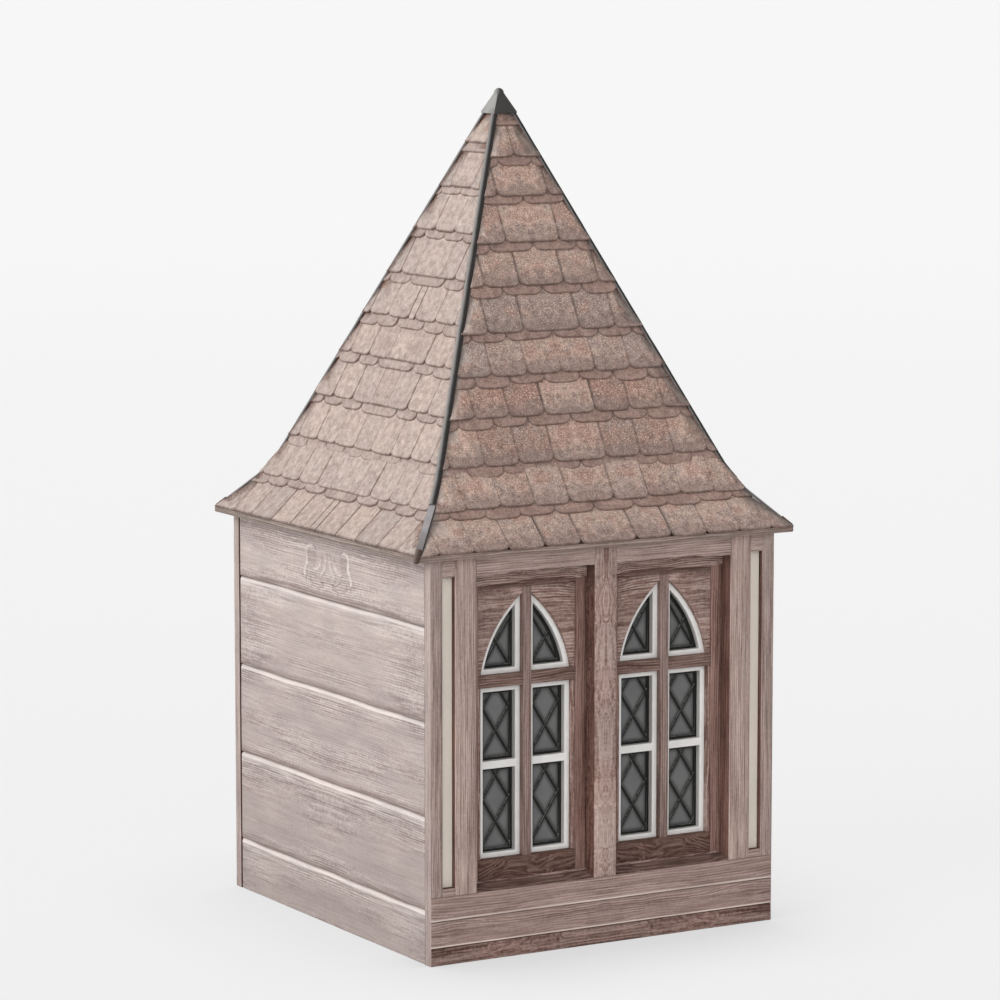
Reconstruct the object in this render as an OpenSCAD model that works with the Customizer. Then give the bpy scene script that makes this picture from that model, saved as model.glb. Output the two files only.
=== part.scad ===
// Belfry: a small timber-framed turret with a steep, kicked pyramid roof.
// The front is at -Y, the ground is Z = 0 and the middle of the base is the origin.

/* [Body] */
// Width across the front, over the side boards
body_w = 1500; // [1400:10:1700]
// Depth from the front face to the back face
body_d = 1576; // [1450:10:1750]
// Height of the walls, up to the underside of the eave boards
wall_h = 1506; // [1440:2:1600]
// Thickness of the front and back walls
end_wall_t = 130; // [126:1:150]
// Clearance between pieces that fit into each other
fit_gap = 0.3; // [0.1:0.1:0.5]

/* [Front and back frames] */
// Thickness of the facing timbers: corner posts, sill rail and base boards
face_t = 43; // [36:1:50]
// Width of a corner post
corner_post_w = 50; // [40:1:70]
// Width of the narrow plastered slot beside a corner post
slot_w = 54; // [40:1:70]
// Width of a stud
stud_w = 90; // [70:1:110]
// Width of the centre post
centre_post_w = 94; // [80:1:120]
// Height of the lower base board
lower_base_h = 67; // [50:1:80]
// Height of the upper base board
upper_base_h = 99; // [80:1:120]
// Shadow gap between the base boards
base_joint = 3; // [1:1:6]
// Height of the sill rail
sill_rail_h = 90; // [80:1:110]
// Height of the head rail over a window
head_rail_h = 65; // [50:1:90]
// Height of the short rail under a plastered slot
slot_sill_h = 29; // [20:1:50]
// Height of the short rail over a plastered slot
slot_head_h = 68; // [50:1:90]
// Depth of the plaster behind the face of the timbers
plaster_setback = 27; // [15:1:32]

/* [Windows] */
// Depth of the window frame behind the face of the timbers
frame_setback = 66; // [55:1:70]
// Rise of the sloping sill over that depth
sill_rise = 19; // [10:1:30]
// Width of a stile
stile_w = 45; // [35:1:55]
// Width of the mullion between two lights
mullion_w = 36; // [30:1:50]
// Height of the bottom rail of the window frame
bottom_rail_h = 103; // [80:1:130]
// Height of the top rail of the window frame
top_rail_h = 71; // [40:1:80]
// Height of the transom
transom_h = 46; // [36:1:60]
// Rise of the pointed arch over its springing line, beside the mullion
arch_rise = 297; // [260:1:320]
// Bulge of each half of the arch beyond a straight line
arch_bulge = 33; // [20:1:50]
// Height of the panel over the point of the arch
arch_gap = 24; // [16:1:50]
// Width of the wooden margin between a light and its stile
margin_w = 13; // [8:0.5:24]
// Depth of that margin and of the arch panel behind the window frame
panel_setback = 7; // [4:1:12]
// Width of a white casing bar
casing_w = 19.5; // [14:0.5:24]
// Depth of a casing behind the window frame
casing_setback = 24; // [16:1:30]
// Height of the glazing bar across a lower light
glazing_bar_h = 29; // [20:1:36]
// Clear height of the pane under the glazing bar
lower_pane_h = 316; // [280:1:340]
// Depth of the glass behind the face of its casing
glass_setback = 30; // [22:1:32]
// Thickness of the glass
glass_t = 4; // [3:0.5:6]

/* [Side walls] */
// Thickness of the horizontal boards
board_t = 30; // [22:1:40]
// Height of the lowest board
first_board_h = 204; // [150:1:240]
// Height of each full board above it
board_h = 351; // [300:1:380]
// Shadow gap between boards
board_joint = 3; // [1:1:6]
// Thickness of the studs and plates behind the boards
side_frame_t = 74; // [60:1:95]
// Width of a side stud
side_stud_w = 70; // [50:1:90]
// Number of studs between the corners of a side
side_studs_n = 2; // [1:1:4]
// Height of the wall plate
plate_h = 90; // [70:1:120]

/* [Floor] */
// Width of a sill beam
beam_w = 120; // [110:1:160]
// Thickness of the floor
floor_t = 30; // [22:1:40]
// Width of a floor joist
joist_w = 60; // [45:1:80]
// Depth of a floor joist
joist_h = 120; // [90:1:130]
// Number of floor joists
joist_n = 3; // [2:1:5]

/* [Roof] */
// Overhang of the eaves beyond the side boards
side_overhang = 69; // [50:1:100]
// Overhang of the eaves beyond the front and back faces
end_overhang = 31; // [20:1:80]
// Thickness of the eave boards
eave_t = 20; // [15:1:30]
// Height of the flared foot of the roof
flare_h = 180; // [150:1:220]
// Run of the flared foot, measured level
flare_run = 167; // [140:1:190]
// Height from the flare to the point where the four slopes would meet
spire_h = 1478; // [1300:10:1600]
// Thickness of the shingled slopes
roof_t = 30; // [24:1:36]
// Diameter of a hip roll
hip_d = 27; // [20:1:34]
// Diameter of the thinner roll on the flare
flare_hip_d = 20; // [18:1:26]
// Distance that the rolls are let in behind the corner of the slopes, measured level
hip_sink = 8; // [4:1:10]

/* [Cap] */
// Drop of the cap's lower edge below the point of the slopes
cap_drop = 102; // [90:1:130]
// Height of the cap over its lower edge
cap_h = 95; // [80:1:100]
// Overhang of the cap's lower edge beyond the slopes
cap_lip = 5; // [3:1:10]
// Height of the upright lower edge
cap_edge_h = 6; // [4:1:10]
// Radius of the rounded tip
cap_tip_r = 8; // [6:1:12]

/* [Hidden] */
$fn = 96;

// Heights up the front
base_top = lower_base_h + upper_base_h;
sill_top = base_top + sill_rail_h;
window_top = wall_h - head_rail_h;
window_h = window_top - sill_top;

// Widths across the front, from the middle outwards
window_w = (body_w - centre_post_w) / 2 - corner_post_w - slot_w - stud_w;
window_x = (centre_post_w + window_w) / 2;
stud_x = centre_post_w / 2 + window_w;
slot_x = stud_x + stud_w;
corner_x = slot_x + slot_w;

// Inside faces of the walls
inner_x = body_w / 2 - board_t - side_frame_t;
inner_y = body_d / 2 - end_wall_t;
board_len = body_d - 2 * face_t;
board_count = 1 + ceil((wall_h - first_board_h) / board_h);

// One light of a window, from the middle of the window outwards
cell_w = window_w / 2 - stile_w - mullion_w / 2;
light_w = cell_w - margin_w;
half_span = mullion_w / 2 + light_w;
arch_cell_h = arch_rise + arch_gap;
arch_z = window_top - top_rail_h - arch_cell_h;
transom_z = arch_z - transom_h;
lower_light_z = sill_top + bottom_rail_h;
lower_light_h = transom_z - lower_light_z;
casing_d = frame_setback + casing_setback;
glass_d = casing_d + glass_setback;
panel_d = frame_setback + panel_setback;

// Half an arch: an arc from the springing at the margin up to the mullion
arch_chord = norm([light_w, arch_rise]);
arch_r = arch_chord * arch_chord / (8 * arch_bulge) + arch_bulge / 2;
arch_centre = [mullion_w + light_w, arch_rise] / 2
    - [arch_rise, light_w] * (arch_r - arch_bulge) / arch_chord;

// Levels of the roof, each as [half width, half depth, height]
eave = [body_w / 2 + side_overhang, body_d / 2 + end_overhang, wall_h + eave_t];
kick = [eave[0] - flare_run, eave[1] - flare_run, eave[2] + flare_h];
cap_base = [
    kick[0] * cap_drop / spire_h,
    kick[1] * cap_drop / spire_h,
    kick[2] + spire_h - cap_drop
];
eave_board_w = eave[0] - inner_x;

// Colours
weathered = [0.60, 0.52, 0.49];
pale_wood = [0.72, 0.66, 0.63];
dark_wood = [0.42, 0.31, 0.28];
shingle_brown = [0.60, 0.51, 0.47];
lead_grey = [0.40, 0.40, 0.40];
plaster_cream = [0.76, 0.72, 0.67];
casing_white = [0.92, 0.91, 0.90];

// --- Helpers ---------------------------------------------------------------

// A box on the front wall: middle at x, foot at z, from one depth behind the face
module face_box(x, z, w, h, depth, t) {
    translate([x - w / 2, depth - body_d / 2, z]) cube([w, t, h]);
}

// A flat outline stood up on the front wall, from one depth behind the face
module face_plate(x, z, depth, t) {
    translate([x, depth + t - body_d / 2, z]) rotate([90, 0, 0]) linear_extrude(t) children();
}

// Turns what belongs to the front round to the back
module to_back() {
    rotate(180) children();
}

module both_sides() {
    children();
    mirror([1, 0, 0]) children();
}

module both_ends() {
    children();
    to_back() children();
}

// Both halves of both windows, each half drawn for the right one
module every_light() {
    for (x = [-window_x, window_x])
        translate([x, 0, 0]) {
            children();
            mirror([1, 0, 0]) children();
        }
}

// Outline of an arched light, drawn in by some inset from the casing's outer edge
module arch_outline(inset) {
    intersection() {
        translate(arch_centre) circle(arch_r - inset);
        translate([mullion_w / 2 + inset, inset]) square([half_span, 2 * arch_rise]);
    }
}

// --- Floor and hidden frame --------------------------------------------------

module sill_beams_side() {
    x = body_w / 2 - board_t - beam_w;
    color(dark_wood)
        both_sides() translate([x, -board_len / 2, 0]) cube([beam_w, board_len, base_top]);
}

module sill_beams_end() {
    span = body_w - 2 * board_t - 2 * beam_w;
    color(dark_wood) both_ends() face_box(0, 0, span, base_top, face_t, beam_w);
}

module floor_joists() {
    span = body_w - 2 * board_t - 2 * beam_w;
    spacing = (board_len - 2 * beam_w) / (joist_n + 1);
    color(dark_wood)
        for (i = [1 : joist_n])
            translate([-span / 2, beam_w + i * spacing - (board_len + joist_w) / 2, base_top - joist_h])
                cube([span, joist_w, joist_h]);
}

module floor_deck() {
    color(dark_wood)
        translate([-inner_x, -inner_y, base_top]) cube([2 * inner_x, 2 * inner_y, floor_t]);
}

module side_studs() {
    spacing = (board_len - side_stud_w) / (side_studs_n + 1);
    color(dark_wood)
        both_sides()
            for (i = [0 : side_studs_n + 1])
                translate([inner_x, i * spacing - board_len / 2, base_top])
                    cube([side_frame_t, side_stud_w, wall_h - plate_h - base_top]);
}

module wall_plates() {
    color(dark_wood)
        both_sides()
            translate([inner_x, -board_len / 2, wall_h - plate_h])
                cube([side_frame_t, board_len, plate_h]);
}

module sole_plates() {
    color(dark_wood)
        both_ends() face_box(0, base_top, 2 * inner_x, sill_rail_h, face_t, end_wall_t - face_t);
}

// --- Side walls ----------------------------------------------------------------

// Boards of the left wall, each with a shadow gap under the next
module left_boards() {
    color(pale_wood)
        for (i = [0 : board_count - 1]) {
            low = i == 0 ? 0 : first_board_h + (i - 1) * board_h;
            high = i == board_count - 1 ? wall_h : first_board_h + i * board_h - board_joint;
            translate([-body_w / 2, -board_len / 2, low]) cube([board_t, board_len, high - low]);
        }
}

module right_boards() {
    mirror([1, 0, 0]) left_boards();
}

// --- Front and back frames -----------------------------------------------------

module base_boards() {
    color(weathered) {
        face_box(0, 0, body_w, lower_base_h - base_joint, 0, face_t);
        face_box(0, lower_base_h, body_w, upper_base_h, 0, face_t);
    }
}

module sill_rail() {
    color(weathered) face_box(0, base_top, body_w, sill_rail_h, 0, face_t);
}

// Head rails over the windows, and short rails over and under the plastered slots
module short_rails() {
    color(weathered)
        both_sides() {
            face_box(window_x, window_top, window_w, head_rail_h, 0, end_wall_t);
            face_box(slot_x + slot_w / 2, wall_h - slot_head_h, slot_w, slot_head_h, 0, face_t);
            face_box(slot_x + slot_w / 2, sill_top, slot_w, slot_sill_h, 0, face_t);
        }
}

module corner_posts() {
    color(weathered)
        both_sides()
            face_box(corner_x + corner_post_w / 2, sill_top, corner_post_w, wall_h - sill_top, 0, face_t);
}

module studs() {
    color(weathered)
        both_sides() face_box(stud_x + stud_w / 2, sill_top, stud_w, wall_h - sill_top, 0, end_wall_t);
}

module centre_post() {
    color(weathered) face_box(0, sill_top, centre_post_w, wall_h - sill_top, 0, end_wall_t);
}

module plaster() {
    low = sill_top + slot_sill_h;
    color(plaster_cream)
        both_sides()
            face_box(slot_x + slot_w / 2, low, slot_w, wall_h - slot_head_h - low,
                plaster_setback, face_t - plaster_setback);
}

// --- Windows -------------------------------------------------------------------

// Sloping sills that run from the face of the wall up to the window frame
module window_sills() {
    color(dark_wood)
        both_sides()
            translate([window_x - window_w / 2, -body_d / 2, sill_top])
                rotate([90, 0, 90])
                    linear_extrude(window_w)
                        polygon([[0, 0], [frame_setback, 0], [frame_setback, sill_rise]]);
}

// Stiles, rails, mullion and transoms, each a piece of its own
module window_frames() {
    t = end_wall_t - frame_setback;
    rail_w = window_w - 2 * stile_w - 2 * fit_gap;
    color(dark_wood) {
        every_light() {
            face_box((window_w - stile_w) / 2, sill_top, stile_w, window_h, frame_setback, t);
            face_box(mullion_w / 2 + cell_w / 2, transom_z, cell_w - 2 * fit_gap, transom_h,
                frame_setback, t);
        }
        for (x = [-window_x, window_x]) {
            face_box(x, sill_top, rail_w, bottom_rail_h - fit_gap, frame_setback, t);
            face_box(x, window_top - top_rail_h + fit_gap, rail_w, top_rail_h - fit_gap,
                frame_setback, t);
            face_box(x, lower_light_z, mullion_w, window_top - top_rail_h - lower_light_z,
                frame_setback, t);
        }
    }
}

// Wooden margins beside the lower lights, and panels around the arched ones
module window_panels() {
    t = glass_d - panel_d;
    color(dark_wood)
        every_light() {
            face_box(half_span + (margin_w + fit_gap) / 2, lower_light_z, margin_w - fit_gap,
                lower_light_h, panel_d, t);
            face_plate(0, arch_z, panel_d, t)
                difference() {
                    translate([mullion_w / 2, 0]) square([cell_w, arch_cell_h]);
                    arch_outline(-fit_gap);
                }
        }
}

module casings() {
    upper_pane_z = casing_w + lower_pane_h + glazing_bar_h;
    pane_w = light_w - 2 * casing_w;
    color(casing_white)
        every_light() {
            face_plate(mullion_w / 2, lower_light_z, casing_d, glass_setback)
                difference() {
                    square([light_w, lower_light_h]);
                    translate([casing_w, casing_w]) square([pane_w, lower_pane_h]);
                    translate([casing_w, upper_pane_z])
                        square([pane_w, lower_light_h - casing_w - upper_pane_z]);
                }
            face_plate(0, arch_z, casing_d, glass_setback)
                difference() {
                    arch_outline(0);
                    arch_outline(casing_w);
                }
        }
}

module glass_panes() {
    x = mullion_w / 2 + cell_w / 2;
    color([0.36, 0.38, 0.37])
        every_light() {
            face_box(x, lower_light_z, cell_w, lower_light_h, glass_d, glass_t);
            face_box(x, arch_z, cell_w, arch_cell_h, glass_d, glass_t);
        }
}

// --- Roof ----------------------------------------------------------------------

// One mitred eave board along the front, for a roof of half width a and half depth b
module eave_board(a, b) {
    w = eave_board_w;
    translate([0, 0, wall_h])
        linear_extrude(eave_t)
            polygon([[-a, -b], [a, -b], [a - w, w - b], [w - a, w - b]]);
}

// A slope of even thickness facing the front, between two levels of the roof
module slope(low, high) {
    rise = high[2] - low[2];
    run = low[1] - high[1];
    drop = roof_t * sqrt(rise * rise + run * run) / run;
    ix = drop * (low[0] - high[0]) / rise;
    iy = drop * run / rise;
    polyhedron(
        points = [
            [-low[0], -low[1], low[2]],
            [low[0], -low[1], low[2]],
            [high[0], -high[1], high[2]],
            [-high[0], -high[1], high[2]],
            [ix - low[0], iy - low[1], low[2]],
            [low[0] - ix, iy - low[1], low[2]],
            [high[0] - ix, iy - high[1], high[2]],
            [ix - high[0], iy - high[1], high[2]]
        ],
        faces = [
            [0, 3, 2, 1], [4, 5, 6, 7], [0, 1, 5, 4],
            [3, 7, 6, 2], [0, 4, 7, 3], [1, 2, 6, 5]
        ]
    );
}

// A level of the roof as seen from its side: width and depth change places
function sideways(level) = [level[1], level[0], level[2]];

module side_slope(low, high) {
    rotate(-90) slope(sideways(low), sideways(high));
}

// The whole roof between two levels as one block, to fit the hip rolls on
module roof_block(low, high) {
    polyhedron(
        points = [
            for (level = [low, high])
                for (corner = [[-1, -1], [1, -1], [1, 1], [-1, 1]])
                    [corner[0] * level[0], corner[1] * level[1], level[2]]
        ],
        faces = [
            [0, 1, 2, 3], [7, 6, 5, 4], [0, 4, 5, 1],
            [1, 5, 6, 2], [2, 6, 7, 3], [3, 7, 4, 0]
        ]
    );
}

// Rolls along the four hips between two levels, seated on both slopes
module hips(low, high, d) {
    run = high - low;
    length = norm(run);
    reach = eave[0] + eave[1];
    sink = hip_sink / sqrt(2);
    both_ends() both_sides()
        difference() {
            translate(low - [sink, sink, 0])
                rotate([0, acos(run[2] / length), atan2(run[1], run[0])])
                    translate([0, 0, -2 * d]) cylinder(d = d, h = length + 4 * d);
            roof_block(low, high);
            translate([-reach, -reach, low[2] - reach]) cube([2 * reach, 2 * reach, reach]);
            translate([-reach, -reach, high[2]]) cube([2 * reach, 2 * reach, reach]);
        }
}

module hip_rolls() {
    color(lead_grey) {
        hips([kick[0], kick[1], kick[2] + fit_gap], cap_base, hip_d);
        hips(eave, kick, flare_hip_d);
    }
}

module cap() {
    half = [cap_base[0] + cap_lip, cap_base[1] + cap_lip];
    color(lead_grey)
        hull() {
            translate([-half[0], -half[1], cap_base[2]])
                cube([2 * half[0], 2 * half[1], cap_edge_h]);
            translate([0, 0, cap_base[2] + cap_h - cap_tip_r]) sphere(cap_tip_r, $fn = 24);
        }
}

// --- Nodes -----------------------------------------------------------------------

sill_beams_side();
sill_beams_end();
floor_joists();
floor_deck();
side_studs();
wall_plates();
sole_plates();
left_boards();
right_boards();
base_boards();  // front_base_boards
sill_rail();  // front_sill_rail
short_rails();  // front_short_rails
corner_posts();  // front_corner_posts
studs();  // front_studs
centre_post();  // front_centre_post
plaster();  // front_plaster
window_sills();  // front_window_sills
window_frames();  // front_window_frames
window_panels();  // front_window_panels
casings();  // front_casings
glass_panes();  // front_glass
to_back() base_boards();  // back_base_boards
to_back() sill_rail();  // back_sill_rail
to_back() short_rails();  // back_short_rails
to_back() corner_posts();  // back_corner_posts
to_back() studs();  // back_studs
to_back() centre_post();  // back_centre_post
to_back() plaster();  // back_plaster
to_back() window_sills();  // back_window_sills
to_back() window_frames();  // back_window_frames
to_back() window_panels();  // back_window_panels
to_back() casings();  // back_casings
to_back() glass_panes();  // back_glass
color(dark_wood) both_sides() rotate(-90) eave_board(eave[1], eave[0]);  // eave_boards_side
color(dark_wood) both_ends() eave_board(eave[0], eave[1]);  // eave_boards_end
color(shingle_brown) slope(eave, kick);  // flare_front
color(shingle_brown) to_back() slope(eave, kick);  // flare_back
color(shingle_brown) side_slope(eave, kick);  // flare_left
color(shingle_brown) to_back() side_slope(eave, kick);  // flare_right
color(shingle_brown) slope(kick, cap_base);  // slope_front
color(shingle_brown) to_back() slope(kick, cap_base);  // slope_back
color(shingle_brown) side_slope(kick, cap_base);  // slope_left
color(shingle_brown) to_back() side_slope(kick, cap_base);  // slope_right
hip_rolls();
cap();
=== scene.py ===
# %% [markdown]
# # A timber belfry, dressed around its fixed frame
# The belfry is a small square turret: a framed front and back with leaded lancet windows, boarded sides,
# and a steep shingled roof with a kick at its foot. The frame gives every solid at its real size. This
# lesson keeps those sizes and adds what a maker would add: worn arrises, separate shingles, leading, lead
# rolls and finishes.

# %% Load the frame
import math
import random

import bmesh
import bpy
from mathutils import Matrix, Vector


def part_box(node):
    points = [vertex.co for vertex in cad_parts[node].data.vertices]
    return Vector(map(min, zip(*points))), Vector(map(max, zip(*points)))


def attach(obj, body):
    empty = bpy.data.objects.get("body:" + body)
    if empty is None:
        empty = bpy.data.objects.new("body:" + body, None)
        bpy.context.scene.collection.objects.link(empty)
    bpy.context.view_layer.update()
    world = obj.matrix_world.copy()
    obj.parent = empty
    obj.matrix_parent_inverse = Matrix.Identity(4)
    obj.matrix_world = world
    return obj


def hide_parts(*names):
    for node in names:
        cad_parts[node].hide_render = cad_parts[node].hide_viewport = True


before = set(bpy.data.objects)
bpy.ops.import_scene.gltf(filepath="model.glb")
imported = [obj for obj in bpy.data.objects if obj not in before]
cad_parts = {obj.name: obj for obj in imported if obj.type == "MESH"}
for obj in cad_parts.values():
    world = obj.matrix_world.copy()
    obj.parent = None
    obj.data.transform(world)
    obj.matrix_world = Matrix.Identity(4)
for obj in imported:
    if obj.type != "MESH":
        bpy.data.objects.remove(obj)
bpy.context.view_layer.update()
mm = 0.001
print("frame:", len(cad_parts), "nodes")

# %% [markdown]
# ## Sizes that the pieces share
# Every place is read from the frame, so that the dressing follows the solids. The front is at -Y. One half
# of one window, the right-hand half, is measured here, and the other halves are copies of it.

# %% Read the sizes
body_low, body_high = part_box("front_base_boards")
half_w = body_high.x
half_d = -body_low.y
boards_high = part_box("left_boards")[1]
wall_h = boards_high.z
side_len = boards_high.y
eave_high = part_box("eave_boards_side")[1]
eave_half = eave_high.x
eave_z = eave_high.z
slope_corners = [corner.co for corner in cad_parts["slope_front"].data.vertices]
kick_corner = min(slope_corners, key=lambda corner: corner.y)
top_corner = max(slope_corners, key=lambda corner: (round(corner.z, 4), -corner.y))
kick_half = -kick_corner.y
kick_z = kick_corner.z
tip_z = top_corner.z - (top_corner.z - kick_z) * top_corner.y / (top_corner.y + kick_half)
print("eave", round(eave_half, 3), "kick", round(kick_half, 3), "tip", round(tip_z, 3))

# %% [markdown]
# ## Small helpers
# A piece is modelled as by hand: a primitive is added, parts of it are picked by their place, and an
# operator shapes them. These helpers keep the picking short. Everything is deselected first, because an
# operator acts on all that is selected.

# %% Helpers for picking and shaping
def take(piece):
    """Makes one piece the only selected one and the active one."""
    bpy.ops.object.select_all(action="DESELECT")
    piece.select_set(True)
    bpy.context.view_layer.objects.active = piece


def pick(piece, kind, test):
    """Opens a piece in edit mode with only those corners, edges or faces selected that pass a test."""
    take(piece)
    bpy.ops.object.mode_set(mode="EDIT")
    bpy.ops.mesh.select_mode(type=kind)
    bpy.ops.mesh.select_all(action="DESELECT")
    shape = bmesh.from_edit_mesh(piece.data)
    parts = {"VERT": shape.verts, "EDGE": shape.edges, "FACE": shape.faces}[kind]
    chosen = [part for part in parts if test(part)]
    for part in chosen:
        part.select_set(True)
    shape.select_flush_mode()
    bmesh.update_edit_mesh(piece.data)
    return len(chosen)


def done():
    """Leaves edit mode."""
    bpy.ops.object.mode_set(mode="OBJECT")


def settle(piece):
    """Puts a piece's place, turn and size into its mesh."""
    take(piece)
    bpy.ops.object.transform_apply(location=True, rotation=True, scale=True)
    return piece


def block(name, low, high):
    """A box between two corners, as the start of a piece."""
    low = Vector(low)
    high = Vector(high)
    bpy.ops.object.select_all(action="DESELECT")
    bpy.ops.mesh.primitive_cube_add(size=1, location=(low + high) / 2, scale=high - low)
    piece = bpy.context.object
    piece.name = name
    return settle(piece)


def cut_planes(piece, planes, **ways):
    """Cuts a piece along planes. Each is given by a point on it and by its direction."""
    take(piece)
    bpy.ops.object.mode_set(mode="EDIT")
    for place, direction in planes:
        bpy.ops.mesh.select_all(action="SELECT")
        bpy.ops.mesh.bisect(plane_co=place, plane_no=direction, **ways)
    done()


def cut_rings(piece, axis, first, last, step):
    """Cuts a piece across, every step along an axis, so that its long edges can be worn."""
    count = max(1, round((last - first) / step))
    direction = Vector((axis == "x", axis == "y", axis == "z"))
    places = [direction * (first + (last - first) * i / count) for i in range(1, count)]
    cut_planes(piece, [(place, direction) for place in places])


def is_arris(edge, angle=0.9):
    """Whether two faces meet at an edge at more than an angle, in radians."""
    return len(edge.link_faces) == 2 and edge.calc_face_angle() > angle


def soften(piece, width, segments=2, test=is_arris):
    """Rounds the picked edges."""
    if pick(piece, "EDGE", test):
        bpy.ops.mesh.bevel(offset=width, segments=segments, affect="EDGES", clamp_overlap=True)
    done()


def wear(piece, depth, size):
    """Moves the surface in and out a little, as rain, sun and tools leave it."""
    take(piece)
    cloud = bpy.data.textures.new(piece.name + " wear", "CLOUDS")
    cloud.noise_scale = size
    cloud.noise_depth = 2
    change = piece.modifiers.new("wear", "DISPLACE")
    change.texture = cloud
    change.texture_coords = "LOCAL"
    change.strength = depth
    change.mid_level = 0.5
    bpy.ops.object.modifier_apply(modifier="wear")


def smooth(piece, angle=35):
    """Shades a piece smooth but for the edges sharper than an angle, in degrees."""
    take(piece)
    bpy.ops.object.shade_smooth_by_angle(angle=math.radians(angle))


def mark_corners(piece, name, rule):
    """Gives every corner of a mesh a value that its finish can read, by a rule on the corner."""
    marks = piece.data.attributes.new(name, "FLOAT", "POINT")
    for corner, mark in zip(piece.data.vertices, marks.data):
        mark.value = rule(corner)


def copy_piece(piece, name, placing=None):
    """A copy with its own mesh, put in its place. A mirrored copy gets its faces turned the right way."""
    made = bpy.data.objects.new(name, piece.data.copy())
    bpy.context.collection.objects.link(made)
    if placing is not None:
        made.data.transform(placing)
        if placing.determinant() < 0:
            made.data.flip_normals()
    return made


def join(pieces, name):
    """Makes one piece of several. It keeps the first one's object."""
    bpy.ops.object.select_all(action="DESELECT")
    for piece in pieces:
        piece.select_set(True)
    bpy.context.view_layer.objects.active = pieces[0]
    bpy.ops.object.join()
    pieces[0].name = name
    return pieces[0]


def from_node(node, name):
    """A merged copy of a CAD solid, with one face for each flat side, ready to be dressed."""
    made = bpy.data.objects.new(name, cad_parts[node].data.copy())
    bpy.context.collection.objects.link(made)
    made.data.materials.clear()
    pick(made, "VERT", lambda corner: True)
    bpy.ops.mesh.remove_doubles(threshold=0.02 * mm)
    bpy.ops.mesh.dissolve_limited(angle_limit=math.radians(0.5))
    done()
    return made


def finish_piece(piece, finish, slot, *nodes):
    """Gives a piece its finish and its body, and hides the solids of the frame that it stands for."""
    if not piece.data.materials:
        piece.data.materials.append(finish)
    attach(piece, "root")
    if nodes:
        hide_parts(*nodes)
    piece.select_set(False)
    return piece


def dress(node, name, finish, slot, arris, depth=0, rings=None):
    """A copy of a solid with rounded arrises. rings is where it is cut across, depth how deep its wear goes.
    """
    made = from_node(node, name)
    if rings:
        cut_rings(made, *rings)
    soften(made, arris)
    if depth:
        wear(made, depth, 0.06)
    smooth(made)
    return finish_piece(made, finish, slot, node)


BACK = Matrix.Rotation(math.pi, 4, "Z")
MIRROR = Matrix.Diagonal((-1, 1, 1, 1))
ENDS = ("front", "back")

# %% [markdown]
# ## Studio
# The belfry stands on a pale floor that runs up into a pale wall far behind it. One wide soft lamp from the
# left lights the boarded side more than the front, a second one fills the front and reaches into the
# windows, and the room lights the rest. The camera looks slightly down on the near corner, from well back,
# so that upright edges stay upright.

# %% Floor and wall
wall_distance = 17.7
floor_reach = 30.0
bend_radius = 3.0
view_azimuth = math.radians(-30.42)
view_elevation = math.radians(7.47)


def make_stage():
    bpy.ops.object.select_all(action="DESELECT")
    middle = (0, wall_distance - floor_reach, -0.2 * mm)
    bpy.ops.mesh.primitive_plane_add(size=2 * floor_reach, location=middle)
    stage = bpy.context.object
    stage.name = "studio_floor"
    settle(stage)
    pick(stage, "EDGE", lambda edge: all(corner.co.y > wall_distance - 0.01 for corner in edge.verts))
    bpy.ops.mesh.extrude_region_move(TRANSFORM_OT_translate={"value": (0, 0, floor_reach)})
    done()
    soften(stage, bend_radius, 8, lambda edge: len(edge.link_faces) == 2)
    smooth(stage, 60)
    stage.data.transform(Matrix.Rotation(view_azimuth, 4, "Z"))
    return stage


floor = make_stage()
print("floor and wall:", len(floor.data.polygons), "faces")

# %% Camera
view_distance = 16.066
view_target = Vector((4.4, -0.8, 1589.4)) * mm
lens_length = 149.44
sensor_w = 36
view_reach = 200

bpy.ops.object.select_all(action="DESELECT")
view_from = Vector((
    math.sin(view_azimuth) * math.cos(view_elevation),
    -math.cos(view_azimuth) * math.cos(view_elevation),
    math.sin(view_elevation),
))
bpy.ops.object.camera_add(location=view_target + view_distance * view_from)
camera = bpy.context.object
camera.rotation_euler = view_from.to_track_quat("Z", "Y").to_euler()
camera.data.lens = lens_length
camera.data.sensor_width = sensor_w
camera.data.clip_end = view_reach
bpy.context.scene.camera = camera
print("camera at", [round(value, 3) for value in camera.location])

# %% Lamps
room_strength = 0.42
backdrop_level = 0.922
sky_level = 1.08


def add_lamp(name, strength, spread, towards):
    """A wide soft lamp, given by the direction from the belfry to the lamp."""
    towards = Vector(towards)
    bpy.ops.object.light_add(type="SUN", location=towards * 5)
    lamp = bpy.context.object
    lamp.name = name
    lamp.rotation_euler = towards.to_track_quat("Z", "Y").to_euler()
    lamp.data.energy = strength
    lamp.data.angle = math.radians(spread)
    return lamp


add_lamp("key", 2.2, 40, (-0.90, -0.06, 0.43))
add_lamp("fill", 1.5, 70, (-0.40, -0.87, 0.28))
bpy.context.scene.view_settings.view_transform = "Standard"
print("lamps: a key from the left, a fill from the front, and the room")

# %% [markdown]
# ## Nodes for the finishes
# A finish is a small network of shader nodes. Short helpers add a node and link it in one line. An effect
# that several finishes share is a node group with named sockets, and each material places the group with
# its own values. The group puts out only masks and heights, and the shader itself stays in the material.

# %% Helpers for nodes
def srgb(red, green, blue):
    """A colour as a painter reads it off a card, 0 to 255, as the linear value that the shader wants."""
    parts = [value / 255 for value in (red, green, blue)]
    return [p / 12.92 if p < 0.04045 else ((p + 0.055) / 1.055) ** 2.4 for p in parts] + [1.0]


def feed(tree, node, inputs):
    """Sets inputs of a node to values, or links them to the outputs of other nodes."""
    for socket, value in inputs.items():
        if isinstance(value, bpy.types.NodeSocket):
            tree.links.new(value, node.inputs[socket])
        else:
            node.inputs[socket].default_value = value


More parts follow.
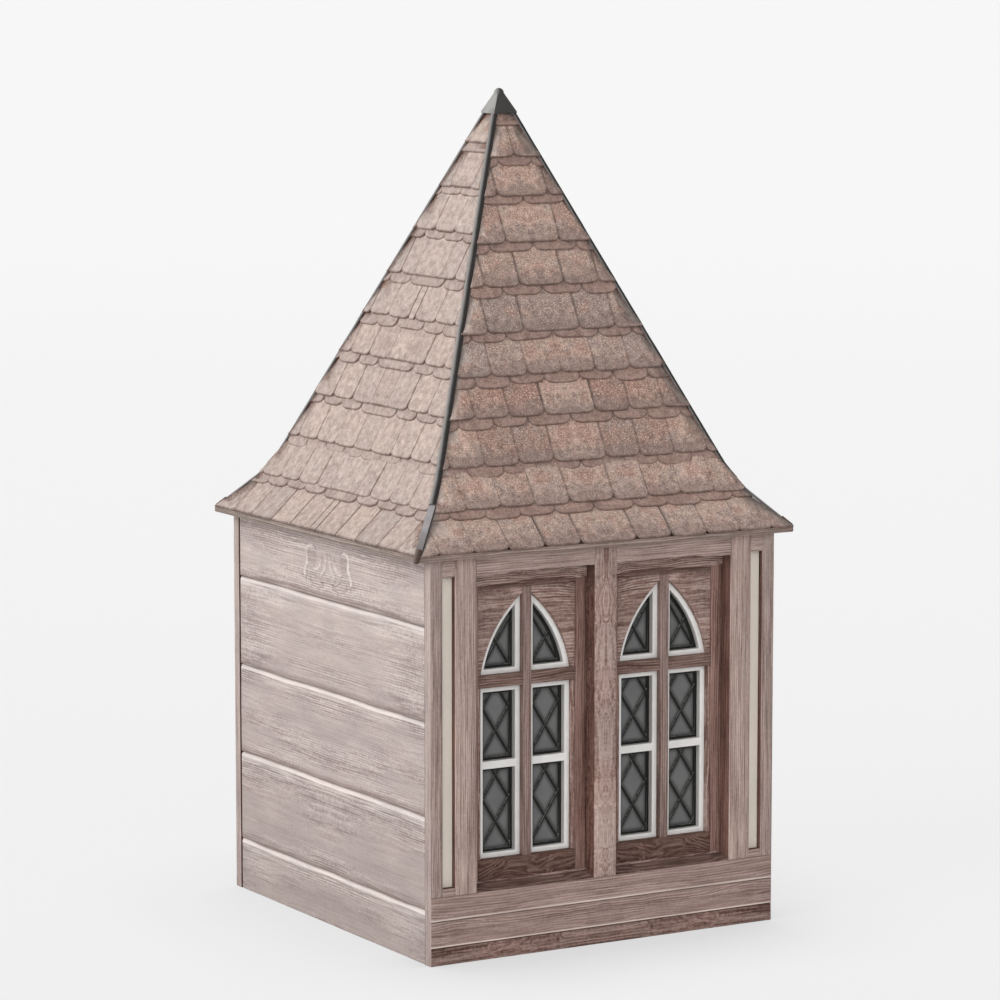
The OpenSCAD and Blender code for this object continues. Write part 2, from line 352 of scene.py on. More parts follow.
def add(tree, kind, inputs=None, **settings):
    """A new node with its settings and its inputs."""
    made = tree.nodes.new("ShaderNode" + kind)
    for key_name, value in settings.items():
        setattr(made, key_name, value)
    feed(tree, made, inputs or {})
    return made


def calc(tree, operation, a, b=0.0, c=0.0):
    return add(tree, "Math", {0: a, 1: b, 2: c}, operation=operation).outputs[0]


def times(tree, first, *others):
    """The product of two or more values."""
    for other in others:
        first = calc(tree, "MULTIPLY", first, other)
    return first


def swayed(tree, value, noise, amount):
    """A value that a noise moves up and down. The noise is counted from its middle, 0.5."""
    return calc(tree, "MULTIPLY_ADD", calc(tree, "SUBTRACT", noise, 0.5), amount, value)


def mix_colour(tree, factor, a, b, blend_type="MIX"):
    """A mix of two colours, each given off a card or by another node."""
    a, b = (srgb(*colour) if isinstance(colour, tuple) else colour for colour in (a, b))
    made = add(tree, "Mix", {0: factor, 6: a, 7: b}, data_type="RGBA", blend_type=blend_type)
    return made.outputs[2]


def between(tree, value, low, high, to_low=0.0, to_high=1.0):
    """Stretches a range of values to another range, and holds it there."""
    made = add(tree, "MapRange", {0: value, 1: low, 2: high, 3: to_low, 4: to_high})
    return made.outputs[0]


def spots(tree, vector, scale, detail=2.0, roughness=0.5):
    made = add(tree, "TexNoise", {"Vector": vector, "Scale": scale, "Detail": detail, "Roughness": roughness})
    return made.outputs["Fac"]


def scaled(tree, vector, x, y, z):
    made = add(tree, "VectorMath", {0: vector, 1: (x, y, z)}, operation="MULTIPLY")
    return made.outputs[0]


def new_group(name, inputs, outputs):
    tree = bpy.data.node_groups.new(name, "ShaderNodeTree")
    for socket, (kind, value) in inputs.items():
        made = tree.interface.new_socket(socket, in_out="INPUT", socket_type="NodeSocket" + kind)
        if value is not None:
            made.default_value = value
    for socket in outputs:
        tree.interface.new_socket(socket, in_out="OUTPUT", socket_type="NodeSocketFloat")
    return tree, tree.nodes.new("NodeGroupInput"), tree.nodes.new("NodeGroupOutput")


def object_place(tree):
    return add(tree, "TexCoord").outputs["Object"]


def parts_of(tree, vector):
    """The three parts of a vector, as outputs named X, Y and Z."""
    return add(tree, "SeparateXYZ", {0: vector}).outputs


def mirrored_place(tree, order="xyz"):
    """Object coordinates in another order, mirrored about the middle of the belfry, and their parts."""
    place = parts_of(tree, object_place(tree))
    parts = {"x": calc(tree, "ABSOLUTE", place[0]), "y": calc(tree, "ABSOLUTE", place[1]), "z": place[2]}
    made = add(tree, "CombineXYZ", dict(enumerate(parts[axis] for axis in order))).outputs[0]
    return made, parts


def facing(tree):
    """The direction that the surface faces, as its parts."""
    return parts_of(tree, add(tree, "NewGeometry").outputs["Normal"])


def more_side_than_front(tree):
    """How much more a surface faces a side than the front or the back, from -1 to 1."""
    normal = facing(tree)
    return calc(tree, "SUBTRACT", calc(tree, "ABSOLUTE", normal[0]), calc(tree, "ABSOLUTE", normal[1]))


def marked(tree, name):
    """The value that mark_corners left on a mesh."""
    return add(tree, "Attribute", attribute_name=name).outputs["Fac"]


def new_finish(name):
    material = bpy.data.materials.new(name)
    material.use_nodes = True
    tree = material.node_tree
    return material, tree, tree.nodes["Principled BSDF"]


def finish_off(tree, shader, colour, roughness, specular, height, strength, distance):
    """Gives a finish its colour, roughness and specular level, and a bump from a height."""
    relief = add(tree, "Bump", {"Strength": strength, "Distance": distance, "Height": height}).outputs[0]
    feed(tree, shader, {
        "Base Color": colour, "Roughness": roughness, "Specular IOR Level": specular, "Normal": relief,
    })


print("node helpers ready")

# %% [markdown]
# ## Wood grain as a group
# Old softwood shows four things at once: broad pale and dark bands, narrow raised lines where the hard
# summer wood stands out, short pale and dark streaks, and fine fibres. Where a knot was near, the lines
# swerve. The group reads a vector whose X runs along the grain. A slow noise pushes the bands sideways, and
# with a larger push they close into the ovals of a knotty board.

# %% Grain group
def make_grain():
    tree, inside, outside = new_group(
        "wood grain",
        {
            "Vector": ("Vector", None),
            "Figure": ("Float", 0.02),
            "Swirl Size": ("Float", 4.0),
            "Line Gap": ("Float", 0.012),
        },
        ["Bands", "Lines", "Streaks", "Fibres"],
    )
    vector = inside.outputs["Vector"]
    swirl = spots(tree, scaled(tree, vector, 0.45, 1, 1), inside.outputs["Swirl Size"], 2.5)
    push = times(tree, calc(tree, "SUBTRACT", swirl, 0.5), inside.outputs["Figure"])
    across = add(tree, "CombineXYZ", {"Y": push, "Z": push}).outputs[0]
    pushed = add(tree, "VectorMath", {0: vector, 1: across}, operation="ADD").outputs[0]
    bands = spots(tree, scaled(tree, pushed, 1.2, 26, 26), 1.0, 4, 0.6)
    side = parts_of(tree, pushed)["Y"]
    turns = calc(tree, "DIVIDE", times(tree, side, 2 * math.pi), inside.outputs["Line Gap"])
    lines = calc(tree, "SINE", calc(tree, "ADD", turns, times(tree, bands, 7.0)))
    zone = between(tree, spots(tree, scaled(tree, vector, 1.1, 6, 6), 1.0, 2), 0.44, 0.56, 0.1, 0.5)
    lines = calc(tree, "MULTIPLY_ADD", lines, zone, 0.5)
    streaks = spots(tree, scaled(tree, pushed, 3.5, 110, 110), 1.0, 3, 0.7)
    fibres = spots(tree, scaled(tree, pushed, 11, 380, 380), 1.0, 2, 0.6)
    feed(tree, outside, {"Bands": bands, "Lines": lines, "Streaks": streaks, "Fibres": fibres})
    return tree


grain_group = make_grain()
print("group:", grain_group.name)

# %% [markdown]
# ## Wood finishes
# All the wood is one kind, weathered pale outside. So each finish has three tones, for the furrows, the
# surface and the raised lines, and a darker, redder tone that takes over behind the face of the wall as
# painted shade in the recesses. The grain is mirrored about the middle, as in book-matched boards.

# %% Wood finish
grain_order = {"x": "xzy", "y": "yzx", "z": "zxy"}
burl_fade = 25 * mm
wood_roughness = (0.90, 0.72)
contrast = 0.21
# How much the bands, lines, streaks and fibres count in the tone and in the relief.
tone_shares = (0.55, 0.22, 0.85, 0.45)
relief_shares = (0.8, 0.44, 1.6, 0.5)


def wood(name, along, tones, figure, swirl, gap, relief, recess_shade=None, shade_and_highlight=None, speckle=0.25, rub_and_sheen=0.0,
         burls=(), highlight_and_shadow_lines=(), upright_below=0):
    """Weathered wood. The grain runs along an axis, figure and swirl are how far and how tightly it swerves,
    gap is the distance of its lines, and relief is its height in millimetres. recess_shade is (tones, depth):
    the tones are painted as shade on the wood that lies deeper than depth behind the face of the wall.
    shade_and_highlight holds the colours of the painted shade under the lower edge of a board and of the
    painted highlight on its planed top, which a piece marks with its attribute light_and_shade, and such wood
    is also painted darker towards the ground, as shade near the floor. speckle is the share of fine dots, and
    rub_and_sheen is how much of the grain is lost where the face is smoothed. burls are stretches along the
    grain, and the grain is only figured within them. highlight_and_shadow_lines are the heights of joints,
    each with a painted highlight on the arris over it and a painted shadow under it. Below upright_below the
    grain stands upright."""
    material, tree, shader = new_finish(name)
    vector, parts = mirrored_place(tree, grain_order[along])
    y = parts["y"]
    z = parts["z"]
    if upright_below:
        upright, _ = mirrored_place(tree, grain_order["z"])
        below = between(tree, z, upright_below, upright_below + mm, 1, 0)
        vector = add(tree, "Mix", {0: below, 4: vector, 5: upright}, data_type="VECTOR").outputs[1]
    burl = 0.0
    if burls:
        run = swayed(tree, parts_of(tree, vector)[0], spots(tree, vector, 9, 2), 110 * mm)
        for start, end in burls:
            begun = between(tree, run, start - burl_fade, start + burl_fade)
            inside = between(tree, run, end - burl_fade, end + burl_fade, 1, 0)
            burl = calc(tree, "MAXIMUM", times(tree, begun, inside), burl)
        figure = calc(tree, "MULTIPLY_ADD", burl, figure, 0.02)
    settings = {"Vector": vector, "Figure": figure, "Swirl Size": swirl, "Line Gap": gap}
    grain = add(tree, "Group", settings, node_tree=grain_group).outputs
    dots = calc(tree, "SUBTRACT", spots(tree, vector, 75, 3, 0.7), 0.5)
    weight = times(tree, dots, speckle)
    for part, share in zip(grain, tone_shares):
        weight = calc(tree, "MULTIPLY_ADD", part, share, weight)
    centre = sum(tone_shares) / 2
    mix = between(tree, weight, centre - contrast, centre + contrast)
    kept = 1.0
    if rub_and_sheen:
        kept = between(tree, spots(tree, scaled(tree, vector, 1.6, 7, 7), 1.0, 3), 0.42, 0.56, 1 - rub_and_sheen, 1)
        mix = swayed(tree, 0.5, mix, kept)

    def toned(three):
        low = mix_colour(tree, between(tree, mix, 0.05, 0.5), three[0], three[1])
        return mix_colour(tree, between(tree, mix, 0.5, 0.95), low, three[2])

    colour = toned(tones)
    if burls:
        colour = mix_colour(tree, burl, colour, (252, 247, 246), "MULTIPLY")
    if shade_and_highlight:
        # Painted shade near the ground: such wood is darker towards the floor.
        darker_low = mix_colour(tree, between(tree, z, 0.1, 0.4), (220, 220, 220), (237, 237, 237))
        darker_low = mix_colour(tree, between(tree, z, 0.4, 1.3), darker_low, (255, 255, 255))
        colour = mix_colour(tree, 1.0, colour, darker_low, "MULTIPLY")
        # Painted shade and highlight: a mark on the corners darkens the lower edge of each board, as shade
        # under the board above, and lightens its planed top, as a highlight.
        reach = swayed(tree, marked(tree, "light_and_shade"), grain["Streaks"], 1.2)
        colour = mix_colour(tree, between(tree, reach, -0.2, -1.1), colour, shade_and_highlight[0])
        colour = mix_colour(tree, between(tree, reach, 0.25, 0.9), colour, shade_and_highlight[1])
    # Painted highlight on the arris over each joint, and painted shadow just under it.
    for line in highlight_and_shadow_lines:
        over = calc(tree, "SUBTRACT", z, line)
        shadow = between(tree, over, -6 * mm, -2 * mm, 0, 0.6)
        shadow = times(tree, shadow, calc(tree, "LESS_THAN", over, 0.0))
        colour = mix_colour(tree, shadow, colour, (78, 58, 51))
        joint_highlight = between(tree, over, 6 * mm, 8 * mm, 1, 0)
        joint_highlight = times(tree, joint_highlight, calc(tree, "GREATER_THAN", over, 0.0))
        joint_highlight = times(tree, joint_highlight, between(tree, grain["Streaks"], 0.3, 0.55, 0.5, 1))
        colour = mix_colour(tree, joint_highlight, colour, (238, 220, 211))
    # Painted shade in the recesses: wood lying more than a few millimetres behind the face of the wall takes
    # the darker, redder tones.
    if recess_shade:
        behind = between(tree, y, half_d - recess_shade[1] - 3 * mm, half_d - recess_shade[1], 1, 0)
        colour = mix_colour(tree, behind, colour, toned(recess_shade[0]))
    blotch = spots(tree, scaled(tree, vector, 1, 2.2, 2.2), 5.0, 3)
    blotch = mix_colour(tree, blotch, (212, 213, 216), (255, 253, 250))
    colour = mix_colour(tree, 1.0, colour, blotch, "MULTIPLY")
    height = times(tree, dots, 2 * speckle)
    for part, share in zip(grain, relief_shares):
        height = swayed(tree, height, part, share)
    roughness = between(tree, mix, 0, 1, *wood_roughness)
    finish_off(tree, shader, colour, roughness, 0.25, times(tree, height, kept), 0.9, relief * mm)
    return material


shade_tones = ((74, 48, 40), (104, 74, 65), (132, 100, 90))
frame_tones = ((141, 118, 110), (180, 157, 149), (208, 186, 178))
rail_tones = ((126, 102, 94), (164, 140, 132), (196, 173, 165))
beam_tones = ((134, 111, 103), (172, 149, 141), (203, 181, 173))
corner_tones = ((124, 104, 97), (162, 142, 135), (192, 172, 165))
figured_tones = ((130, 102, 93), (174, 150, 142), (204, 182, 174))
burl_tones = ((78, 55, 48), (128, 102, 94), (168, 143, 135))
board_tones = ((157, 142, 137), (190, 176, 171), (214, 201, 196))
panel_tones = ((108, 80, 72), (155, 128, 119), (198, 174, 165))
stile_tones = ((100, 70, 62), (138, 107, 98), (166, 136, 126))
mullion_tones = ((106, 83, 76), (143, 120, 113), (174, 151, 144))
head_tones = ((112, 84, 76), (170, 143, 134), (210, 186, 176))
transom_tones = ((92, 67, 60), (126, 101, 93), (158, 133, 124))
sill_tones = ((82, 58, 50), (112, 86, 77), (140, 112, 102))
strip_tones = ((152, 136, 131), (179, 163, 157), (198, 182, 176))
gap_shade_tones = ((62, 38, 32), (86, 58, 50), (110, 80, 70))
eave_tones = ((118, 100, 93), (150, 131, 123), (178, 159, 151))
eave_side_tones = ((116, 103, 95), (146, 132, 124), (172, 158, 150))
inner_tones = ((92, 70, 62), (122, 98, 88), (150, 126, 115))
# Darker tones painted as shade on wood more than 4 mm behind the face of the wall.
recess_shade_setting = (shade_tones, 4 * mm)

post_wood = wood("post wood", "z", frame_tones, 0.02, 5, 0.009, 0.6, recess_shade=recess_shade_setting)
corner_wood = wood("corner post wood", "z", corner_tones, 0.02, 5, 0.009, 0.6, recess_shade=recess_shade_setting)
post_burls = ((240 * mm, 359 * mm), (549 * mm, 702 * mm), (883 * mm, 1050 * mm), (1217 * mm, 1358 * mm))
# Heights of the joints that get a painted highlight on the arris over them and a painted shadow under them.
joints = (67 * mm, 166 * mm)
figured_wood = wood(
    "figured post wood", "z", figured_tones, 0.26, 9, 0.014, 0.8,
    recess_shade=recess_shade_setting, speckle=0.5, burls=post_burls,
)
rail_wood = wood(
    "rail wood", "x", rail_tones, 0.03, 4, 0.010, 0.7, recess_shade=recess_shade_setting, rub_and_sheen=0.4, highlight_and_shadow_lines=joints,
)
beam_wood = wood("beam wood", "x", beam_tones, 0.03, 4, 0.010, 0.7, recess_shade=recess_shade_setting, rub_and_sheen=0.4)
base_wood = wood("base board wood", "x", rail_tones, 0.05, 6, 0.010, 0.7, rub_and_sheen=0.4, highlight_and_shadow_lines=joints)
base_burls = ((205 * mm, 495 * mm),)
burl_wood = wood("burl wood", "x", burl_tones, 0.22, 8, 0.012, 1.0, speckle=0.4, burls=base_burls)
# Its two edge colours are the painted shade under each board and the painted highlight on the planed top of
# the board below.
board_wood = wood(
    "side board wood", "y", board_tones, 0.05, 2.6, 0.0095, 1.3, speckle=0.6, rub_and_sheen=0.7,
    shade_and_highlight=((138, 121, 115), (230, 219, 214)),
)
strip_wood = wood("strip wood", "z", strip_tones, 0.01, 4, 0.01, 0.4)
gap_shade_wood = wood("gap wood", "z", gap_shade_tones, 0.01, 4, 0.01, 0.4)
stile_wood = wood("stile wood", "z", stile_tones, 0.03, 4, 0.010, 0.6)
transom_wood = wood("transom wood", "x", transom_tones, 0.06, 5, 0.010, 0.7)
window_rail_wood = wood("window rail wood", "x", sill_tones, 0.26, 7, 0.014, 0.8)
head_strip_wood = wood("head strip wood", "x", head_tones, 0.10, 6, 0.009, 1.0)
panel_wood = wood("panel wood", "x", panel_tones, 0.07, 6, 0.011, 0.9, speckle=0.4, upright_below=1056 * mm)
mullion_wood = wood("mullion wood", "z", mullion_tones, 0.02, 4, 0.010, 0.6)
eave_wood = wood("eave wood", "x", eave_tones, 0.02, 4, 0.01, 0.6)
eave_side_wood = wood("eave side wood", "y", eave_side_tones, 0.02, 4, 0.01, 0.6)
inner_wood = wood("inner wood", "y", inner_tones, 0.03, 4, 0.014, 0.5)
# The deck's dark tones are painted shade for the gaps between the shingles.
deck_wood = wood("roof deck wood", "x", shade_tones, 0.02, 4, 0.012, 0.4)
print("wood finishes:", len([m for m in bpy.data.materials if "wood" in m.name]))

# %% [markdown]
# ## Other finishes
# Plaster is cream lime with a fine float texture. The casings are white oil paint, greyed inside the
# rebate. The glass is old, grey and nearly opaque, with painted shade along the leads: the piece carries
# that as an attribute, because the shade follows each pane. Lead is painted dark on the sides that face
# front and back and light on the sides that face left and right, as shade and light, and the window lead
# gets a painted sheen on its upward faces.

# %% Plaster, paint, glass and lead
def make_plaster():
    material, tree, shader = new_finish("lime plaster")
    place = object_place(tree)
    stain = spots(tree, scaled(tree, place, 3, 3, 1), 5, 3)
    colour = mix_colour(tree, stain, (220, 210, 197), (238, 229, 217))
    finish_off(tree, shader, colour, 0.9, 0.5, spots(tree, place, 220, 3), 0.4, 0.8 * mm)
    return material


def make_paint():
    material, tree, shader = new_finish("white casing paint")
    place = object_place(tree)
    depth = calc(tree, "ABSOLUTE", parts_of(tree, place)["Y"])
    inside = between(tree, depth, casing_face - 9 * mm, casing_face - 4 * mm, 1, 0)
    stain = spots(tree, place, 18, 4, 0.6)
    colour = mix_colour(tree, stain, (214, 211, 208), (242, 241, 239))
    colour = mix_colour(tree, inside, colour, (193, 190, 187))
    finish_off(tree, shader, colour, 0.5, 0.5, spots(tree, place, 160, 2), 0.25, 0.5 * mm)
    return material


def make_glass():
    material, tree, shader = new_finish("old leaded glass")
    place = object_place(tree)
    middle = mix_colour(tree, spots(tree, place, 14, 3), (88, 88, 88), (118, 117, 117))
    # Painted shade: the glass turns dark beside the lead, by the clear attribute.
    colour = mix_colour(tree, between(tree, marked(tree, "clear"), 0.1, 0.8), (27, 26, 23), middle)
    shader.inputs["Alpha"].default_value = 0.96
    finish_off(tree, shader, colour, 0.32, 0.5, spots(tree, place, 30, 2), 0.25, 1.0 * mm)
    return material


def make_lead(name, dark, lit_tone, darker_low=0.0):
    """Lead, painted light where its faces turn to the left and right and dark where they turn to the front
    and back, as light and shade. darker_low is how much darker the lead is at the eave than at the kick.
    """
    material, tree, shader = new_finish(name)
    place = object_place(tree)
    cloud = spots(tree, place, 26, 4, 0.6)
    # Painted light and shade: faces that turn to the sides take the light tone, faces that turn to the front
    # and back the dark one.
    side = swayed(tree, more_side_than_front(tree), cloud, 0.5)
    weathered_and_lit = between(tree, side, -0.45, 0.9)
    colour = mix_colour(tree, weathered_and_lit, dark, lit_tone)
    fresh = times(tree, between(tree, cloud, 0.45, 0.7, 0, 0.5), weathered_and_lit)
    colour = mix_colour(tree, fresh, colour, (112, 110, 108))
    if darker_low:
        height = swayed(tree, parts_of(tree, place)["Z"], cloud, 90 * mm)
        wet = between(tree, height, 1.55, 1.63, darker_low, 0)
        colour = mix_colour(tree, wet, colour, (84, 76, 74))
        colour = mix_colour(tree, between(tree, cloud, 0.4, 0.65, 0.5, 0), colour, (122, 117, 118))
    roughness = between(tree, cloud, 0.2, 0.8, 0.75, 0.55)
    finish_off(tree, shader, colour, roughness, 0.12, spots(tree, place, 60, 3), 0.5, 1.5 * mm)
    return material


def make_leading():
    material, tree, shader = new_finish("window lead")
    cloud = spots(tree, object_place(tree), 90, 3)
    colour = mix_colour(tree, cloud, (8, 8, 7), (24, 25, 23))
    # Painted sheen: faces that turn upwards are lighter in patches, as a highlight on the lead.
    upward = between(tree, facing(tree)["Z"], 0.12, 0.35)
    rub_and_sheen = times(tree, upward, between(tree, cloud, 0.4, 0.6, 0.2, 0.8))
    colour = mix_colour(tree, rub_and_sheen, colour, (126, 129, 126))
    finish_off(tree, shader, colour, 0.4, 0.3, cloud, 0.3, 1.0 * mm)
    return material


casing_face = -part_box("front_casings")[0].y
plaster_finish = make_plaster()
paint_finish = make_paint()
glass_finish = make_glass()
lead_finish = make_lead("roll lead", (48, 46, 44), (146, 143, 141))
cap_finish = make_lead("cap lead", (66, 64, 62), (158, 156, 153))
nub_lead = make_lead("rusty lead", (78, 62, 55), (110, 96, 89))
strip_lead = make_lead("strip lead", (140, 135, 137), (180, 176, 176), 0.75)
leading_finish = make_leading()
print("finishes:", len(bpy.data.materials))


# %% Shingle finish
shingle_grey = (170, 153, 147)
shingle_red = (180, 141, 128)
shingle_warm = (205, 169, 150)
shingle_pale = (218, 200, 190)
shingle_dark = (96, 76, 69)
shingle_speck = (222, 198, 180)
shingle_foot = (150, 133, 127)
shingle_under = (176, 147, 136)
shingle_side_light = (203, 194, 187)


def make_shingle_finish():
    """Cleft wood gone grey and red. Each shingle carries its own tone. The side slopes are painted paler and
    less speckled, as sides in the light, and the rim of each shingle gets painted shade.
    """
    material, tree, shader = new_finish("weathered shingle")
    place, _ = mirrored_place(tree)
    names = ("red", "warm", "pale", "edge", "foot", "under")
    red, warm, pale, edge, foot, under = [marked(tree, name) for name in names]
    sideways = more_side_than_front(tree)
    mottle = spots(tree, place, 38, 4, 0.65)
    grit = spots(tree, place, 190, 2, 0.7)
    stain = spots(tree, place, 15, 3, 0.6)

    def by_side(on_sides, on_front):
        return between(tree, sideways, 0.1, -0.1, on_sides, on_front)

    colour = mix_colour(tree, red, shingle_grey, shingle_red)
    reach = times(tree, warm, between(tree, mottle, 0.35, 0.6, 0.35, 1.0))
    colour = mix_colour(tree, reach, colour, shingle_warm)
    colour = mix_colour(tree, times(tree, pale, 0.45), colour, shingle_pale)
    gain = mix_colour(tree, between(tree, pale, 0, 0.7), (238, 237, 236), (255, 255, 255))
    colour = mix_colour(tree, by_side(0.3, 1), colour, gain, "MULTIPLY")
    reddened = times(tree, between(tree, stain, 0.5, 0.64, 0, 0.7), by_side(0.3, 1))
    colour = mix_colour(tree, reddened, colour, shingle_red)
    greyed = times(tree, between(tree, stain, 0.5, 0.36, 0, 0.75), by_side(0.5, 1))
    colour = mix_colour(tree, greyed, colour, shingle_grey)
    wet = times(tree, between(tree, swayed(tree, foot, mottle, 0.5), 0.10, 0.38, 0.7, 0), by_side(0.4, 1))
    colour = mix_colour(tree, wet, colour, shingle_foot)
    # The side slopes are painted paler, as sides in the light; the specks are thinned there too.
    colour = mix_colour(tree, by_side(0.52, 0), colour, shingle_side_light)
    colour = mix_colour(tree, times(tree, under, by_side(0.1, 0.6)), colour, shingle_under)
    shade = mix_colour(tree, between(tree, mottle, 0.3, 0.7), (200, 194, 192), (255, 255, 255))
    colour = mix_colour(tree, 1.0, colour, shade, "MULTIPLY")
    dark = times(tree, between(tree, grit, 0.46, 0.34), by_side(0.25, 0.65))
    colour = mix_colour(tree, dark, colour, shingle_dark)
    light = times(tree, between(tree, grit, 0.54, 0.66), by_side(0.35, 0.85))
    light = times(tree, light, between(tree, under, 0, 1, 1, 0.35), between(tree, wet, 0.1, 0.6, 1, 0.45))
    colour = mix_colour(tree, light, colour, shingle_speck)
    # Painted shade along the rim of each shingle, from the edge attribute.
    rim = times(tree, between(tree, edge, 0.75, 0.0), between(tree, mottle, 0.3, 0.7, 0.5, 0.15))
    line = times(tree, between(tree, edge, 0.38, 0.22), between(tree, mottle, 0.3, 0.7, 0.8, 0.35))
    colour = mix_colour(tree, calc(tree, "MAXIMUM", rim, line), colour, shingle_dark)
    height = calc(tree, "MULTIPLY_ADD", grit, 0.4, mottle)
    finish_off(tree, shader, colour, 0.85, 0.2, height, 0.9, 3.0 * mm)
    return material


shingle_finish = make_shingle_finish()
print("shingle finish ready")

# %% Room light and floor finish
floor_colour = 0.80
floor_near = 0.878
floor_far = 0.899
shadow_reach = 0.8
shadow_side = 0.21
shadow_front = 0.52
paper_glow = 0.93


def seen_rays(tree):
    """The ray kinds, and 1 for those through which the stage itself is seen."""
    rays = add(tree, "LightPath").outputs
    seen = calc(tree, "MAXIMUM", rays["Is Camera Ray"], rays["Is Glossy Ray"])
    return rays, calc(tree, "MAXIMUM", seen, rays["Is Transmission Ray"])


def make_room():
    world = bpy.data.worlds.new("studio room")
    bpy.context.scene.world = world
    world.use_nodes = True
    tree = world.node_tree
    tree.nodes.clear()
    rays, seen = seen_rays(tree)
    level = between(tree, seen, 0, 1, room_strength, backdrop_level)
    level = between(tree, rays["Is Camera Ray"], 0, 1, level, sky_level)
    light = add(tree, "Background", {"Strength": level}).outputs[0]
    add(tree, "OutputWorld", {0: light})


def make_floor_finish():
    """White paper. What the camera sees of it is mostly its own even tone, with a soft shadow painted around
    the foot of the belfry from ambient occlusion, deepest in front, so that the lamps' shadow stays faint."""
    material, tree, shader = new_finish("studio paper")
    white = (floor_colour, floor_colour, floor_colour, 1)
    feed(tree, shader, {"Base Color": white, "Roughness": 0.9, "Specular IOR Level": 0.0})
    _, seen = seen_rays(tree)
    parts = parts_of(tree, object_place(tree))
    away = times(tree, parts["Y"], math.cos(view_azimuth))
    away = calc(tree, "MULTIPLY_ADD", parts["X"], -math.sin(view_azimuth), away)
    level = between(tree, away, -3.0, 9.0, floor_near, floor_far)
    wall = between(tree, parts["Z"], 0.3, 0.5 * bend_radius, 0, 1)
    level = calc(tree, "MULTIPLY_ADD", wall, calc(tree, "SUBTRACT", backdrop_level, level), level)
    # Painted shadow: ambient occlusion darkens the paper around the foot of the belfry, more in front.
    open_sky = add(tree, "AmbientOcclusion", {"Distance": shadow_reach}, samples=8).outputs["AO"]
    ahead = between(tree, parts["Y"], -half_d - 0.10, -half_d + 0.25, 1, 0)
    depth = times(tree, ahead, between(tree, parts["X"], half_w, half_w + 0.4, 1, 0))
    depth = times(tree, depth, between(tree, parts["X"], -half_w - 0.4, -half_w))
    depth = between(tree, depth, 0, 1, shadow_side, shadow_front)
    shut = calc(tree, "SUBTRACT", 1, open_sky)
    level = times(tree, level, calc(tree, "SUBTRACT", 1, times(tree, depth, shut)))
    glow = add(tree, "Emission", {"Strength": level}).outputs[0]
    share = times(tree, seen, paper_glow)
    both = add(tree, "MixShader", {0: share, 1: shader.outputs[0], 2: glow}).outputs[0]
    feed(tree, tree.nodes["Material Output"], {0: both})
    return material


make_room()
floor.data.materials.append(make_floor_finish())
print("room light and paper")

# %% [markdown]
# ## Hidden timbers
# The sill beams, joists, floor and studs only show through the glass or from below. Their solids already
# have the right shape, so they stay as they are and get the inner wood. The plaster strips stay too.

# %% Finish the solids that stay
floor_timbers = ["sill_beams_side", "sill_beams_end", "floor_joists", "floor_deck"]
wall_timbers = ["side_studs", "wall_plates", "sole_plates"]
kept = {name: inner_wood for name in floor_timbers + wall_timbers}
kept.update({end + "_plaster": plaster_finish for end in ENDS})
for name, finish in kept.items():
    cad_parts[name].data.materials.clear()
    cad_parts[name].data.materials.append(finish)
print("kept solids:", len(kept))

# %% [markdown]
# ## Side boards
# Five wide boards lie edge to edge. The top arris of each board but the last is planed off. That slope is
# painted light, as a highlight, and the lower edge of the board above it is painted dark, as shade. A merged
# copy of the solids is cut across every few centimetres, the arrises are bevelled, and the joints are let to
# wander. The boards stop a little short of the corner strips, further at the back, which leaves an open
# joint there.

# %% Boards on both sides
board_bevel = 13 * mm
board_arris = 5 * mm
end_gaps = (1 * mm, 7.5 * mm)
joint_sway = 1.5 * mm
sway_reach = 70 * mm
highlight_reach = 80 * mm
shade_reach = 34 * mm


def board_edges(boards):
    """The heights of the lower and the upper edge of each board, from the ground up."""
    heights = sorted({round(corner.co.z, 4) for corner in boards.data.vertices})
    return list(zip(heights[0::2], heights[1::2]))


def light_and_shade_at(z, edges):
    """1 at the planed upper slope of a board, painted as a highlight, and less just below it, -1 at its lower
    edge, painted as shade. The top of the top board and the foot of the lowest one stay plain."""
    low, high = next(edge for edge in edges if z < edge[1] + mm)
    below_top = high - z
    if high < wall_h - 20 * mm and below_top < highlight_reach:
        return 0.85 if below_top < board_bevel + mm else 0.55 * (1 - below_top / highlight_reach)
    if low > 20 * mm:
        return min(0, (z - low) / shade_reach - 1)
    return 0


def sway_joints(boards, edges):
    """Lets the joints wander up and down a little, alike on both halves of the side."""
    joints = [high for low, high in edges[:-1]]
    for corner in boards.data.vertices:
        y = abs(corner.co.y)
        joint = min(joints, key=lambda height: abs(corner.co.z - height))
        near = max(0, 1 - abs(corner.co.z - joint) / sway_reach)
        wave = math.sin(y * 7 + joint * 9) + 0.5 * math.sin(y * 19 + joint * 5)
        corner.co.z += near * wave * joint_sway


